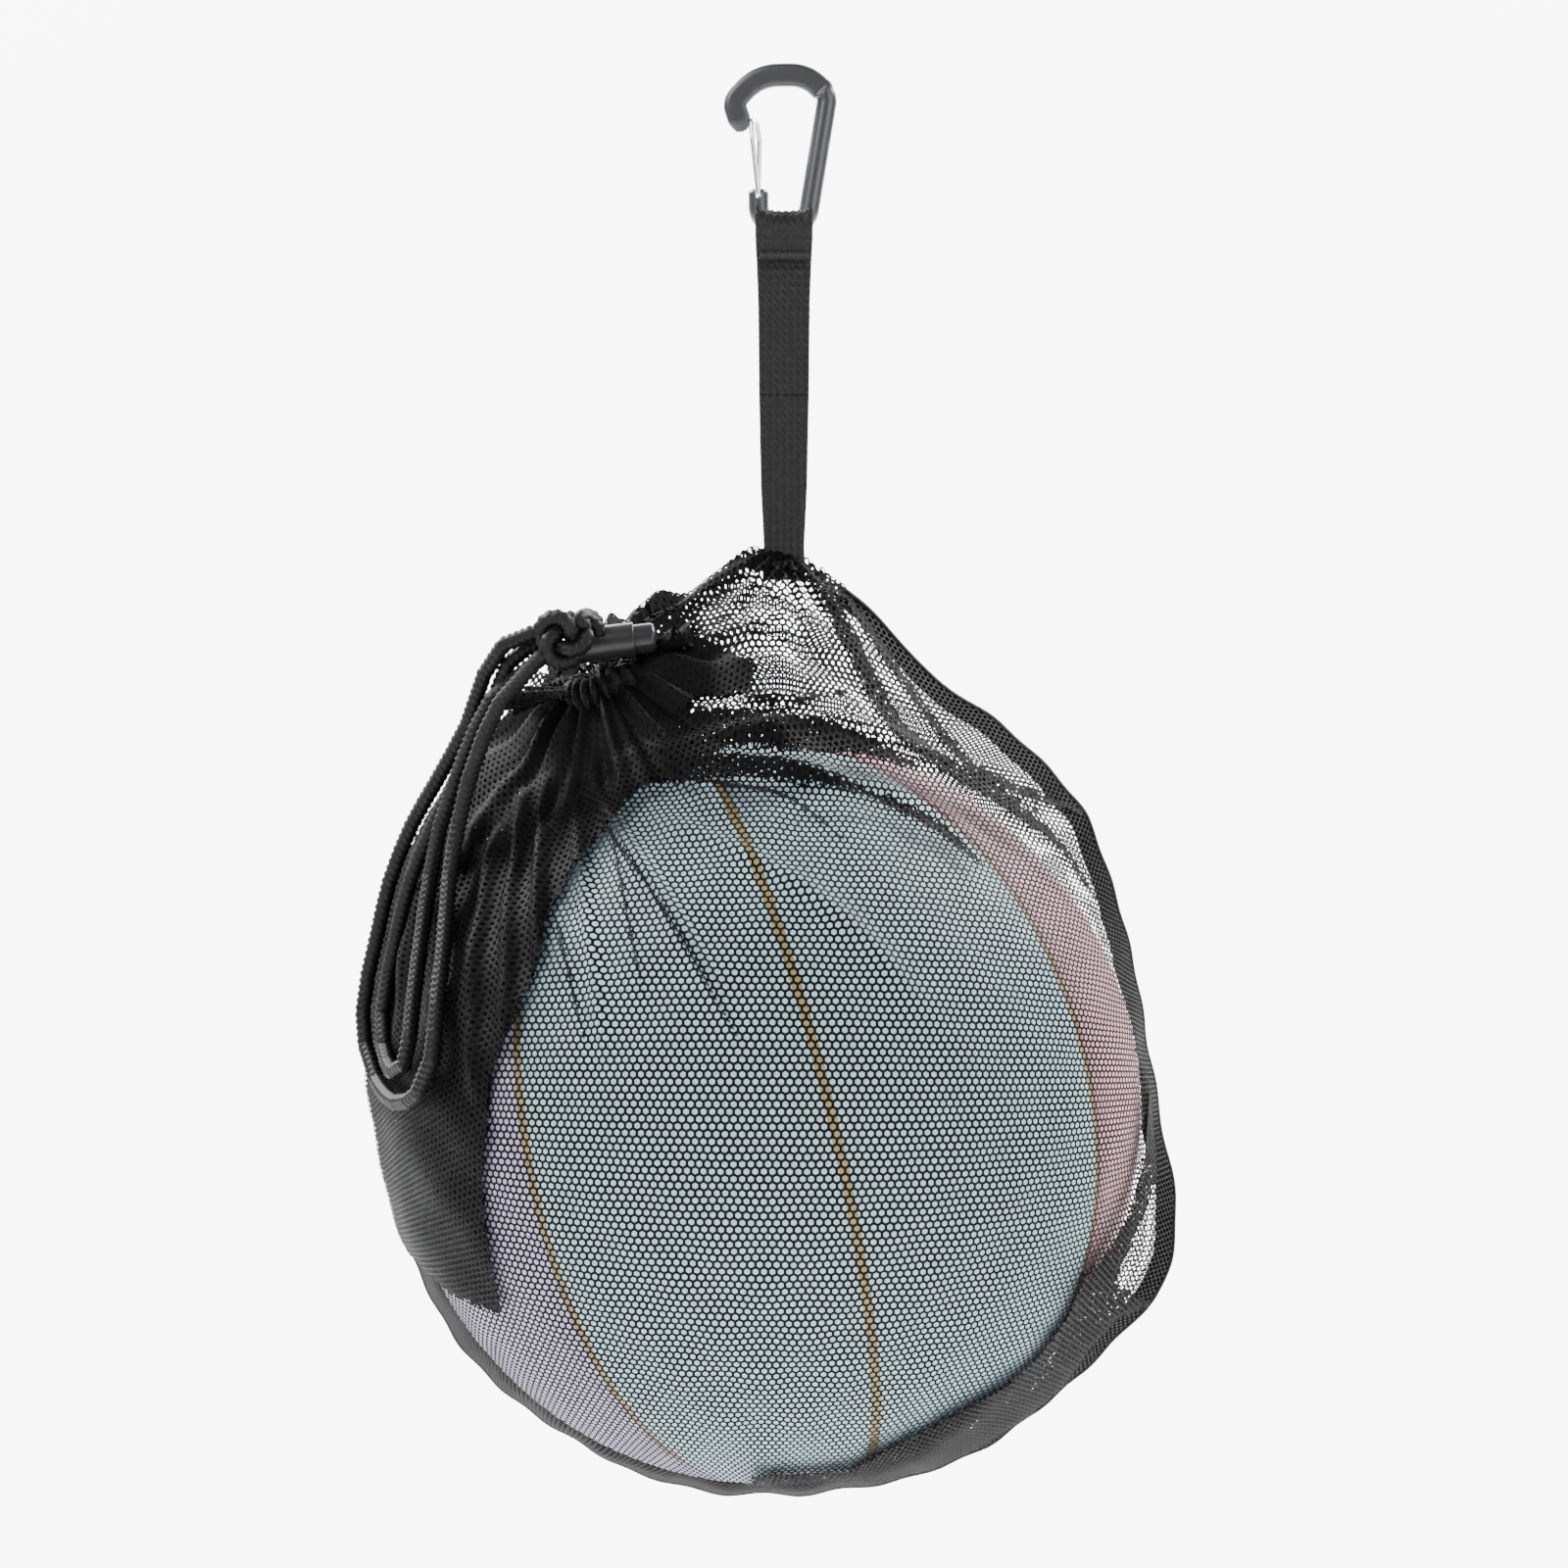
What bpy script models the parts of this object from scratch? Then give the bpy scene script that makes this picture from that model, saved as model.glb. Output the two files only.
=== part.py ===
"""Mesh ball bag: a knitted net bag with a drawcord mouth, a ball inside it, and a webbing strap
that hangs it from a small wire-gate carabiner.

Metres, +Z up, front towards -Y. The origin is the seat under the carabiner's top bend, where a
hook or a finger carries the bag, and everything hangs straight down from it.
"""

import math

import bmesh
import bpy
from mathutils import Matrix, Vector

# ---------------------------------------------------------------- driving dimensions
GAP = 0.0003                     # between neighbouring pieces
FACET_ROOM = 0.0008              # extra room where one faceted sphere wraps another

# carabiner
ROD_RADIUS = 0.0033              # round spine and basket
TOP_HALF_WIDTH = 0.0034          # flattened top bend, across the bend
TOP_HALF_DEPTH = 0.0026          # flattened top bend, front to back
TOP_Z = 0.0034                   # centre line of the top bend above the hook seat
SPINE_TOP_X = 0.0139             # where the spine's line meets the top's line
BASKET_DROP = 0.0490             # centre line of the basket below the top's centre line
BASKET_HALF_WIDTH = 0.0078       # basket centre line to either side
NOSE_X = -0.0134
NOSE_Z = -0.0142
SHOULDER_X = -0.0164             # corner that the nose side turns round
SHOULDER_Z = -0.0052
GATE_STUB_Z = -0.0335            # top of the short arm that carries the gate
GATE_PIVOT_Z = -0.0362
GATE_WIRE_RADIUS = 0.0008
GATE_HALF_SPREAD = 0.0024        # half the gap between the gate's legs at the nose
FLAT_FROM_TOP = 0.0090           # the spine turns from flat to round this far down
FLAT_BLEND = 0.0020              # over this height
NOSE_TAPER = 0.62                # the nose's tip, as a share of the full section
STUB_TAPER = 0.80                # the same for the arm that carries the gate
NOTCH_IN = 0.0034                # where the gate's wire rests, from the nose's tip
NOTCH_UP = 0.0031

# strap
WEB_WIDTH = 0.0165
WEB_THICKNESS = 0.0014
WEB_WAIST = 0.0130               # width where the strap is gathered into the seam
STRAP_LENGTH = 0.1015            # from under the basket loop to the seam
TAIL_LENGTH = 0.0060             # folded end that is sewn to the strap's front
ANCHOR_LENGTH = 0.0110           # webbing sewn inside the bag
TACK_STITCHES = 9                # zigzags of thread on each side of the strap's middle
TACK_HEIGHT = 0.0024
THREAD_RADIUS = 0.00022
STRAP_FOLD_GAP = 0.0009          # the strap bends freely over this much above the seam

# ball
BALL_RADIUS = 0.120
PANEL_THICKNESS = 0.0020
CHANNEL_HALF_WIDTH = 0.0022
CARCASS_WALL = 0.0020
CHANNEL_DROP = 0.0009            # panel edges roll down into the channels by this
VALVE_RADIUS = 0.0030

# bag
NET_THICKNESS = 0.0008
HEAD_SPACE = 0.0594              # from the ball's top up to the seam
BALL_OFFSET_X = -0.0048          # ball centre to the left of the strap
SEAM_HALF_THICKNESS = 0.0006
SEAM_WIDTH = 0.0050
FLAP_THICKNESS = 0.0010
MOUTH_RADIUS = 0.0095            # centre line of the gathered hem round the mouth
HEM_RADIUS = 0.0043              # the gathered hem, as a round tube
HEM_HEIGHT = 0.0022              # the hem's centre line above the net's edge
MOUTH_ANGLE_DEG = -21.0          # from straight up, clockwise seen from the front
MOUTH_SLACK = 0.0262             # mouth's height above the ball's surface
MOUTH_RISE = 0.0033              # the net's own tip above the mouth, were it not cut open
MOUTH_FORWARD = -0.020           # towards the front
HEM_WALL = 0.0009
FRILL_REACH = 0.0210
FRILL_RISE = 0.0030              # the frill's edge above its root
FRILL_WAVE = 0.0022              # height of its ruffles
FRILL_RUFFLES = 7.0              # ruffles in a full turn

# where folds of slack net stand off the ball: angle from straight up, clockwise from the
# front, and height above the ball's surface
SLACK_FOLDS = (
    (13.0, 0.0405),
    (21.0, 0.0272),
    (28.0, 0.0252),
    (38.0, 0.0222),
    (46.5, 0.0199),
    (55.5, 0.0124),
    (104.5, 0.0149),
    (115.0, 0.0196),
    (130.5, 0.0111),
    (148.0, 0.0090),
    (170.0, 0.0038),
    (200.0, 0.0035),
    (233.0, 0.0048),
    (291.0, 0.0104),
    (301.0, 0.0142),
    (310.5, 0.0186),
    (317.0, 0.0245),
    (324.0, 0.0290),
)

# the folded edge of the tuck: angle from straight up, and angle from the front pole
TUCK_EDGE = (
    (326.0, 66.0),
    (319.0, 58.0),
    (312.0, 52.4),
    (306.5, 49.0),
    (301.0, 46.9),
    (293.0, 46.6),
    (285.0, 47.2),
    (277.0, 48.4),
    (267.0, 49.8),
    (257.5, 51.4),
    (249.0, 55.0),
    (241.0, 60.0),
    (234.0, 65.0),
)
TUCK_OUTER_TIP = 82.0

# drawcord and cord lock
CORD_RADIUS = 0.00215
SQUEEZED_RADIUS = 0.0016         # each cord where the lock grips it
LOCK_RADIUS = 0.0056
LOCK_WALL = 0.0006
LOCK_END_WALL = 0.0012
LOCK_BARREL_LENGTH = 0.0213
LOCK_BUTTON_LENGTH = 0.0068      # how far the button stands out of the barrel
LOCK_SLOT_FROM_END = 0.0102      # centre of the cord slot
LOCK_TRAVEL = 0.0032
LOCK_TILT_DEG = 7.0
LOCK_LEAN_DEG = 30.0             # the cords leave the mouth leaning forward by this
LOCK_FROM_MOUTH = 0.0178
SPRING_WIRE_RADIUS = 0.00025
SPRING_COIL_RADIUS = 0.0030
SPRING_TURNS = 3.5
KNOT_HALF_WIDE = 0.0098
KNOT_HALF_DEEP = 0.0064
KNOT_HALF_HIGH = 0.0096
KNOT_LOBES = 3
KNOT_LOBE_SHARE = 0.16           # how far each lobe stands out

# ---------------------------------------------------------------- worked-out places
BASKET_Z = TOP_Z - BASKET_DROP
LOOP_INNER = ROD_RADIUS + GAP
LOOP_OUTER = LOOP_INNER + WEB_THICKNESS
STRAP_TOP_Z = BASKET_Z - LOOP_OUTER - GAP
SEAM_Z = STRAP_TOP_Z - STRAP_LENGTH
BALL_CENTRE = Vector((BALL_OFFSET_X, 0.0, SEAM_Z - HEAD_SPACE - BALL_RADIUS))
NET_INNER = BALL_RADIUS + GAP + FACET_ROOM
NET_OUTER = NET_INNER + NET_THICKNESS

for old in list(bpy.data.objects):
    bpy.data.objects.remove(old, do_unlink=True)


# ---------------------------------------------------------------- helpers
def material(name, colour, roughness, metallic=0.0):
    """A plain Principled material with the sub-part's colour."""
    made = bpy.data.materials.new(name)
    made.use_nodes = True
    shader = made.node_tree.nodes["Principled BSDF"]
    shader.inputs["Base Color"].default_value = (*colour, 1.0)
    shader.inputs["Roughness"].default_value = roughness
    shader.inputs["Metallic"].default_value = metallic
    return made


def add_mesh(name, bm, finish, smooth_deg=40.0):
    """Turns a bmesh into a named object with its faces pointing out."""
    bmesh.ops.recalc_face_normals(bm, faces=bm.faces)
    mesh = bpy.data.meshes.new(name)
    bm.to_mesh(mesh)
    bm.free()
    mesh.shade_smooth()
    mesh.set_sharp_from_angle(angle=math.radians(smooth_deg))
    made = bpy.data.objects.new(name, mesh)
    made.data.materials.append(finish)
    bpy.context.collection.objects.link(made)
    return made


def loft(rings):
    """A closed solid through rings of points, with a flat cap at each end."""
    bm = bmesh.new()
    rows = [[bm.verts.new(point) for point in ring] for ring in rings]
    count = len(rows[0])
    for low, high in zip(rows, rows[1:]):
        for i in range(count):
            j = (i + 1) % count
            bm.faces.new((low[i], low[j], high[j], high[i]))
    bm.faces.new(list(reversed(rows[0])))
    bm.faces.new(rows[-1])
    return bm


def two_skins(bm, above, below):
    """The same cell of a sheet's upper and under side, both split along the same diagonal."""
    a, b, c, d = above
    bm.faces.new((a, b, c))
    bm.faces.new((a, c, d))
    a, b, c, d = below
    bm.faces.new((a, c, b))
    bm.faces.new((a, d, c))


def sheet_solid(outer, inner):
    """A closed solid between two grids of points with the same rows and columns."""
    bm = bmesh.new()
    top = [[bm.verts.new(point) for point in row] for row in outer]
    under = [[bm.verts.new(point) for point in row] for row in inner]
    rows = len(top)
    columns = len(top[0])
    for r in range(rows - 1):
        for c in range(columns - 1):
            cell = ((r, c), (r, c + 1), (r + 1, c + 1), (r + 1, c))
            two_skins(bm, [top[p][q] for p, q in cell], [under[p][q] for p, q in cell])
    rim = [(0, c) for c in range(columns)]
    rim += [(r, columns - 1) for r in range(1, rows)]
    rim += [(rows - 1, c) for c in range(columns - 2, -1, -1)]
    rim += [(r, 0) for r in range(rows - 2, 0, -1)]
    for (r, c), (s, d) in zip(rim, rim[1:] + rim[:1]):
        bm.faces.new((top[r][c], under[r][c], under[s][d], top[s][d]))
    return bm


def swept(points, sections, sideways):
    """Rings of a section carried along a path in a plane. Each section is a list of
    (across, deep) pairs, deep runs along sideways, and across is square to the path."""
    rings = []
    for i, point in enumerate(points):
        ahead = points[min(i + 1, len(points) - 1)]
        behind = points[max(i - 1, 0)]
        across = sideways.cross((ahead - behind).normalized())
        rings.append([point + across * a + sideways * d for a, d in sections[i]])
    return rings


def round_section(radius, count=12):
    return [
        (radius * math.cos(2 * math.pi * i / count), radius * math.sin(2 * math.pi * i / count))
        for i in range(count)
    ]


def rounded_path(corners, radii, step_deg=15.0):
    """A path of straight runs joined by arcs: radii[i] rounds the inner corner i + 1."""
    points = [corners[0]]
    for i, radius in enumerate(radii):
        before, corner, after = corners[i], corners[i + 1], corners[i + 2]
        back = (before - corner).normalized()
        on = (after - corner).normalized()
        half = back.angle(on) / 2
        centre = corner + (back + on).normalized() * (radius / math.sin(half))
        start = corner + back * (radius / math.tan(half)) - centre
        end = corner + on * (radius / math.tan(half)) - centre
        turn = start.angle(end)
        axis = start.cross(end).normalized()
        steps = max(2, math.ceil(math.degrees(turn) / step_deg))
        for k in range(steps + 1):
            points.append(centre + Matrix.Rotation(turn * k / steps, 3, axis) @ start)
    points.append(corners[-1])
    return points


def smooth_route(points, spacing):
    """Points every spacing or so along a smooth curve through the route's own points."""
    ends = [2 * points[0] - points[1]] + points + [2 * points[-1] - points[-2]]
    route = [points[0]]
    for before, start, end, after in zip(ends, ends[1:], ends[2:], ends[3:]):
        count = max(1, round((end - start).length / spacing))
        for k in range(1, count + 1):
            t = k / count
            route.append(
                0.5
                * (
                    2 * start
                    + (end - before) * t
                    + (2 * before - 5 * start + 4 * end - after) * t**2
                    + (3 * start - before - 3 * end + after) * t**3
                )
            )
    return route


def tube(name, route, radius, finish, bevel_resolution=2):
    """A curve object with a round bevel and filled caps."""
    curve = bpy.data.curves.new(name, "CURVE")
    curve.dimensions = "3D"
    curve.bevel_depth = radius
    curve.bevel_resolution = bevel_resolution
    curve.use_fill_caps = True
    spline = curve.splines.new("POLY")
    spline.points.add(len(route) - 1)
    for place, point in zip(spline.points, route):
        place.co = (*point, 1.0)
    made = bpy.data.objects.new(name, curve)
    curve.materials.append(finish)
    bpy.context.collection.objects.link(made)
    return made


def cutter(name, bm):
    """A hidden solid that a Boolean takes away."""
    made = add_mesh(name, bm, nylon_black)
    made.hide_render = True
    made.display_type = "WIRE"
    return made


def cut(target, tool):
    boolean = target.modifiers.new("cut_" + tool.name, "BOOLEAN")
    boolean.operation = "DIFFERENCE"
    boolean.solver = "EXACT"
    boolean.object = tool


def cylinder(start, end, radius, count=16):
    """A round bar from start to end, as a bmesh."""
    along = (end - start).normalized()
    side = along.orthogonal().normalized()
    other = along.cross(side)
    section = round_section(radius, count)
    return loft([[p + side * a + other * b for a, b in section] for p in (start, end)])


anodised = material("carabiner_dark_grey", (0.035, 0.037, 0.040), 0.38, 0.7)
bright_steel = material("bright_steel", (0.78, 0.79, 0.80), 0.22, 1.0)
webbing = material("webbing_black", (0.012, 0.012, 0.013), 0.85)
net_black = material("net_black", (0.010, 0.010, 0.011), 0.80)
cord_black = material("cord_black", (0.014, 0.014, 0.015), 0.75)
nylon_black = material("lock_black", (0.018, 0.018, 0.019), 0.35)
spring_steel = material("spring_steel", (0.60, 0.61, 0.62), 0.30, 1.0)
channel_gold = material("channel_gold", (0.42, 0.29, 0.10), 0.55)
panel_blue = material("panel_blue", (0.38, 0.60, 0.70), 0.60)
panel_lavender = material("panel_lavender", (0.50, 0.45, 0.68), 0.60)
panel_pink = material("panel_pink", (0.78, 0.42, 0.47), 0.60)
valve_rubber = material("valve_rubber", (0.05, 0.05, 0.05), 0.60)

FRONT_BACK = Vector((0.0, 1.0, 0.0))


# ---------------------------------------------------------------- carabiner
def carabiner_path():
    """Centre line from the nose, over the top, down the spine, round the basket and up."""
    corners = [
        Vector((NOSE_X, 0, NOSE_Z)),
        Vector((SHOULDER_X, 0, SHOULDER_Z)),
        Vector((-0.0075, 0, TOP_Z)),
        Vector((SPINE_TOP_X, 0, TOP_Z)),
        Vector((BASKET_HALF_WIDTH - 0.0006, 0, BASKET_Z)),
        Vector((-BASKET_HALF_WIDTH - 0.0004, 0, BASKET_Z)),
        Vector((-BASKET_HALF_WIDTH - 0.0005, 0, GATE_STUB_Z)),
    ]
    return rounded_path(corners, [0.0046, 0.0110, 0.0072, 0.0068, 0.0068])


def flattened_section(share):
    """Round at share 0, and a flat-sided bar at share 1."""
    section = []
    for across, deep in round_section(1.0):
        squared = 1.0 + 0.12 * share * (1 - (across**2 - deep**2) ** 2)
        wide = ROD_RADIUS + (TOP_HALF_WIDTH - ROD_RADIUS) * share
        thick = ROD_RADIUS + (TOP_HALF_DEPTH - ROD_RADIUS) * share
        section.append((across * wide * squared, deep * thick * squared))
    return section


def build_carabiner():
    points = carabiner_path()
    sections = []
    for i, point in enumerate(points):
        flat = min(1.0, max(0.0, (point.z - TOP_Z + FLAT_FROM_TOP) / FLAT_BLEND))
        if point.x < 0 and point.z > GATE_PIVOT_Z + 0.010:
            flat = 1.0
        nose = NOSE_TAPER if i == 0 else 1.0
        stub = STUB_TAPER if i == len(points) - 1 else 1.0
        sections.append([(a * nose * stub, d * nose * stub) for a, d in flattened_section(flat)])
    frame = add_mesh("carabiner_frame", loft(swept(points, sections, FRONT_BACK)), anodised)
    pivot = Vector((-BASKET_HALF_WIDTH - 0.0005, 0, GATE_PIVOT_Z))
    reach = FRONT_BACK * (ROD_RADIUS * 2)
    cut(frame, cutter("gate_pivot_hole", cylinder(pivot - reach, pivot + reach,
                                                  GATE_WIRE_RADIUS + GAP, 10)))
    notch = Vector((NOSE_X + NOTCH_IN, 0, NOSE_Z + NOTCH_UP))
    cut(frame, cutter("nose_notch", cylinder(notch - reach, notch + reach,
                                             GATE_WIRE_RADIUS + 3 * GAP, 12)))
    return pivot, notch


def build_wire_gate(pivot, notch):
    """One bent wire: in at the front of the pivot hole, up, across the nose and back down."""
    leg_spread = ROD_RADIUS + GAP + GATE_WIRE_RADIUS
    half = [
        pivot + Vector((0, -GATE_WIRE_RADIUS, 0)),
        pivot + Vector((0, -leg_spread, 0)),
        notch + Vector((0.0009, -GATE_HALF_SPREAD - 0.0009, -0.0060)),
        notch + Vector((0.0002, -GATE_HALF_SPREAD, 0)),
    ]
    other = [Vector((p.x, -p.y, p.z)) for p in reversed(half)]
    path = rounded_path(half + other, [0.0014, 0.0050, 0.0016, 0.0016, 0.0050, 0.0014], 22.5)
    gate = tube("wire_gate", [p - pivot for p in path], GATE_WIRE_RADIUS, bright_steel)
    gate.location = pivot
    return gate


# ---------------------------------------------------------------- strap
def build_strap():
    path = carabiner_path()
    low = [p for p in path if p.z < BASKET_Z + 0.0062]
    inner_section = round_section(LOOP_INNER)
    outer_section = round_section(LOOP_OUTER)
    inner = swept(low, [inner_section] * len(low), FRONT_BACK)
    outer = swept(low, [outer_section] * len(low), FRONT_BACK)
    bm = bmesh.new()
    skin = [[bm.verts.new(p) for p in ring] for ring in outer]
    bore = [[bm.verts.new(p) for p in ring] for ring in inner]
    count = len(outer_section)
    for i in range(count):
        j = (i + 1) % count
        for a, b in zip(range(len(skin) - 1), range(1, len(skin))):
            bm.faces.new((skin[a][i], skin[a][j], skin[b][j], skin[b][i]))
            bm.faces.new((bore[a][j], bore[a][i], bore[b][i], bore[b][j]))
        bm.faces.new((skin[0][j], skin[0][i], bore[0][i], bore[0][j]))
        bm.faces.new((skin[-1][i], skin[-1][j], bore[-1][j], bore[-1][i]))
    add_mesh("strap_loop", bm, webbing)

    def web(name, heights, front_y, back_y):
        rings = []
        for z, width in heights:
            x = width / 2
            rings.append([Vector((-x, front_y, z)), Vector((x, front_y, z)),
                          Vector((x, back_y, z)), Vector((-x, back_y, z))])
        add_mesh(name, loft(rings), webbing, 20.0)

    half = WEB_THICKNESS / 2
    web("strap_web", [(STRAP_TOP_Z, WEB_WIDTH + 0.0010), (STRAP_TOP_Z - 0.010, WEB_WIDTH),
                      (SEAM_Z + 0.020, WEB_WIDTH * 0.94), (SEAM_Z + STRAP_FOLD_GAP, WEB_WAIST)],
        -half, half)
    tail_front = -half - GAP - WEB_THICKNESS
    web("strap_tail", [(STRAP_TOP_Z, WEB_WIDTH + 0.0014), (STRAP_TOP_Z - TAIL_LENGTH,
                                                          WEB_WIDTH + 0.0010)],
        tail_front, -half - GAP)
    # the zigzag of thread that holds the folded end down
    tack = []
    for k in range(TACK_STITCHES * 2 + 1):
        x = WEB_WIDTH * 0.46 * (k / TACK_STITCHES - 1)
        z = STRAP_TOP_Z - TAIL_LENGTH * 0.72 + TACK_HEIGHT * (k % 2 - 0.5)
        tack.append(Vector((x, tail_front - GAP - THREAD_RADIUS, z)))
    tube("strap_bar_tack", tack, THREAD_RADIUS, webbing, 1)
    anchor_half = SEAM_HALF_THICKNESS
    web("strap_anchor", [(SEAM_Z - GAP, WEB_WAIST), (SEAM_Z - ANCHOR_LENGTH, WEB_WAIST)],
        -anchor_half, anchor_half)


# ---------------------------------------------------------------- bag surface
def clock_direction(angle_deg, forward=0.0):
    """Unit vector at an angle from straight up, clockwise from the front, tipped forward."""
    angle = math.radians(angle_deg)
    flat = math.sqrt(1 - forward**2)
    return Vector((math.sin(angle) * flat, forward, math.cos(angle) * flat))


MOUTH_HEIGHT = BALL_RADIUS + MOUTH_SLACK
MOUTH_OUT = clock_direction(MOUTH_ANGLE_DEG, MOUTH_FORWARD / MOUTH_HEIGHT)
MOUTH = BALL_CENTRE + MOUTH_OUT * MOUTH_HEIGHT


def net_pulls():
    """Directions and distances, from the ball's centre, of the points that hold the net out."""
    pulls = [(clock_direction(a), BALL_RADIUS + slack) for a, slack in SLACK_FOLDS]
    pulls.append((MOUTH_OUT, MOUTH_HEIGHT + MOUTH_RISE))
    for x in (-WEB_WAIST / 2, 0.0, WEB_WAIST / 2):
        corner = Vector((x, 0, SEAM_Z - 0.0020)) - BALL_CENTRE
        pulls.append((corner.normalized(), corner.length))
    return pulls


PULLS = net_pulls()


def net_radius(direction, lift=0.0):
    """Distance from the ball's centre to the taut net: the ball, or a cone to a pull point."""
    resting = NET_OUTER + lift
    radius = resting
    for pull, distance in PULLS:
        reach = max(distance + lift, resting * 1.0001)
        slope = math.asin(resting / reach)
        away = direction.angle(pull, 0.0)
        if away < math.pi / 2 - slope:
            radius = max(radius, resting / math.sin(away + slope))
    return radius


def net_point(clock_deg, from_front_deg, lift=0.0, side=-1.0):
    """A point of the net: clock angle, then angle from the front pole towards the outline."""
    tip = math.radians(from_front_deg)
    rim = clock_direction(clock_deg)
    direction = rim * math.sin(tip) + Vector((0, side, 0)) * math.cos(tip)
    return BALL_CENTRE + direction * net_radius(direction, lift)


def net_panel(name, side):
    """Half of the net: a dome from the front or back pole out to the seam."""
    columns, rows = 48, 9
    outer_rows = []
    inner_rows = []
    for r in range(1, rows + 1):
        tip = 90.0 * (r / rows) ** 0.9
        outer_ring = []
        inner_ring = []
        for c in range(columns):
            clock = 360.0 * c / columns
            skin_point = net_point(clock, tip, 0.0, side)
            inward = (BALL_CENTRE - skin_point).normalized() * NET_THICKNESS
            for ring, point in ((outer_ring, skin_point), (inner_ring, skin_point + inward)):
                if r == rows:
                    point.y = side * (SEAM_HALF_THICKNESS + GAP)
                ring.append(point)
        outer_rows.append(outer_ring)
        inner_rows.append(inner_ring)
    bm = bmesh.new()
    skin = [[bm.verts.new(p) for p in ring] for ring in outer_rows]
    lining = [[bm.verts.new(p) for p in ring] for ring in inner_rows]
    poles = [bm.verts.new(BALL_CENTRE + FRONT_BACK * (side * (NET_OUTER - depth)))
             for depth in (0.0, NET_THICKNESS)]
    for c in range(columns):
        d = (c + 1) % columns
        bm.faces.new((poles[0], skin[0][c], skin[0][d]))
        bm.faces.new((poles[1], lining[0][d], lining[0][c]))
        for r in range(rows - 1):
            cell = ((r, c), (r + 1, c), (r + 1, d), (r, d))
            two_skins(bm, [skin[p][q] for p, q in cell], [lining[p][q] for p, q in cell])
        bm.faces.new((skin[-1][c], lining[-1][c], lining[-1][d], skin[-1][d]))
    return add_mesh(name, bm, net_black)


def outline_band(name, start_deg, end_deg):
    """The sewn seam: a flat band between the panels, following the bag's outline."""
    steps = max(2, round((end_deg - start_deg) / 7.5))
    rings = []
    for k in range(steps + 1):
        clock = start_deg + (end_deg - start_deg) * k / steps
        direction = clock_direction(clock)
        rim = net_radius(direction)
        ring = []
        for distance, y in ((rim - SEAM_WIDTH, -1), (rim, -1), (rim, 1), (rim - SEAM_WIDTH, 1)):
            inside = max(distance, NET_INNER)
            point = BALL_CENTRE + direction * inside
            ring.append(point + FRONT_BACK * (y * SEAM_HALF_THICKNESS))
        rings.append(ring)
    add_mesh(name, loft(rings), net_black, 20.0)


def build_bag():
    front = net_panel("front_panel", -1.0)
    net_panel("back_panel", 1.0)
    hole = cylinder(MOUTH - MOUTH_OUT * 0.016, MOUTH + MOUTH_OUT * 0.006, MOUTH_RADIUS, 20)
    cut(front, cutter("mouth_hole", hole))
    outline_band("side_seam", 7.5, 330.0)
    outline_band("shoulder_seam", 345.0, 352.5)

    # the tuck of spare net folded down the left of the ball
    lift = GAP + 2 * FACET_ROOM
    outer = []
    inner = []
    for clock, fold_tip in TUCK_EDGE:
        tips = [fold_tip + (TUCK_OUTER_TIP - fold_tip) * c / 4 for c in range(5)]
        outer.append([net_point(clock, tip, lift + FLAP_THICKNESS) for tip in tips])
        inner.append([net_point(clock, tip, lift) for tip in tips])
    add_mesh("folded_tuck", sheet_solid(outer, inner), net_black)


# ---------------------------------------------------------------- mouth
def mouth_frame():
    """Two directions square to the mouth's axis: to the right, and to the back."""
    right = FRONT_BACK.cross(MOUTH_OUT).normalized()
    back = MOUTH_OUT.cross(right).normalized()
    return right, back


def mouth_ring(radius, height, angle):
    right, back = mouth_frame()
    return MOUTH + right * (radius * math.cos(angle)) + back * (radius * math.sin(angle)) + (
        MOUTH_OUT * height)


def build_mouth():
    """The hem is a sewn tunnel, open along its inside where the cord comes out."""
    tunnel = []
    for a in range(9):
        turn = math.radians(30 + 300 * a / 8) + math.pi
        tunnel.append((math.cos(turn) * HEM_RADIUS, math.sin(turn) * HEM_RADIUS))
    bore = 1 - HEM_WALL / HEM_RADIUS
    inside = [(p * bore, q * bore) for p, q in tunnel]
    section = tunnel + list(reversed(inside))
    steps = 20
    bm = bmesh.new()
    rows = []
    for k in range(steps):
        angle = 2 * math.pi * k / steps
        rows.append([bm.verts.new(mouth_ring(MOUTH_RADIUS + p, HEM_HEIGHT + q, angle))
                     for p, q in section])
    count = len(section)
    for k in range(steps):
        here, there = rows[k], rows[(k + 1) % steps]
        for i in range(count):
            j = (i + 1) % count
            bm.faces.new((here[i], here[j], there[j], there[i]))
    add_mesh("hem_tunnel", bm, net_black)

    ring = [mouth_ring(MOUTH_RADIUS + 0.0004, HEM_HEIGHT, math.radians(20 + 320 * k / 16))
            for k in range(17)]
    tube("channel_cord", ring, CORD_RADIUS, cord_black)

    outer = []
    inner = []
    for k in range(25):
        angle = math.radians(-2 + 184 * k / 24)
        for rows_out, lift in ((outer, NET_THICKNESS), (inner, 0.0)):
            row = []
            for c in range(4):
                share = c / 3
                radius = MOUTH_RADIUS - 0.001 + FRILL_REACH * share
                ruffle = FRILL_WAVE * share * math.cos(FRILL_RUFFLES * angle)
                height = HEM_HEIGHT + HEM_RADIUS + GAP + FRILL_RISE * share + ruffle + lift
                row.append(mouth_ring(radius, height, angle))
            rows_out.append(row)
    add_mesh("mouth_frill", sheet_solid(outer, inner), net_black)


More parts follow.
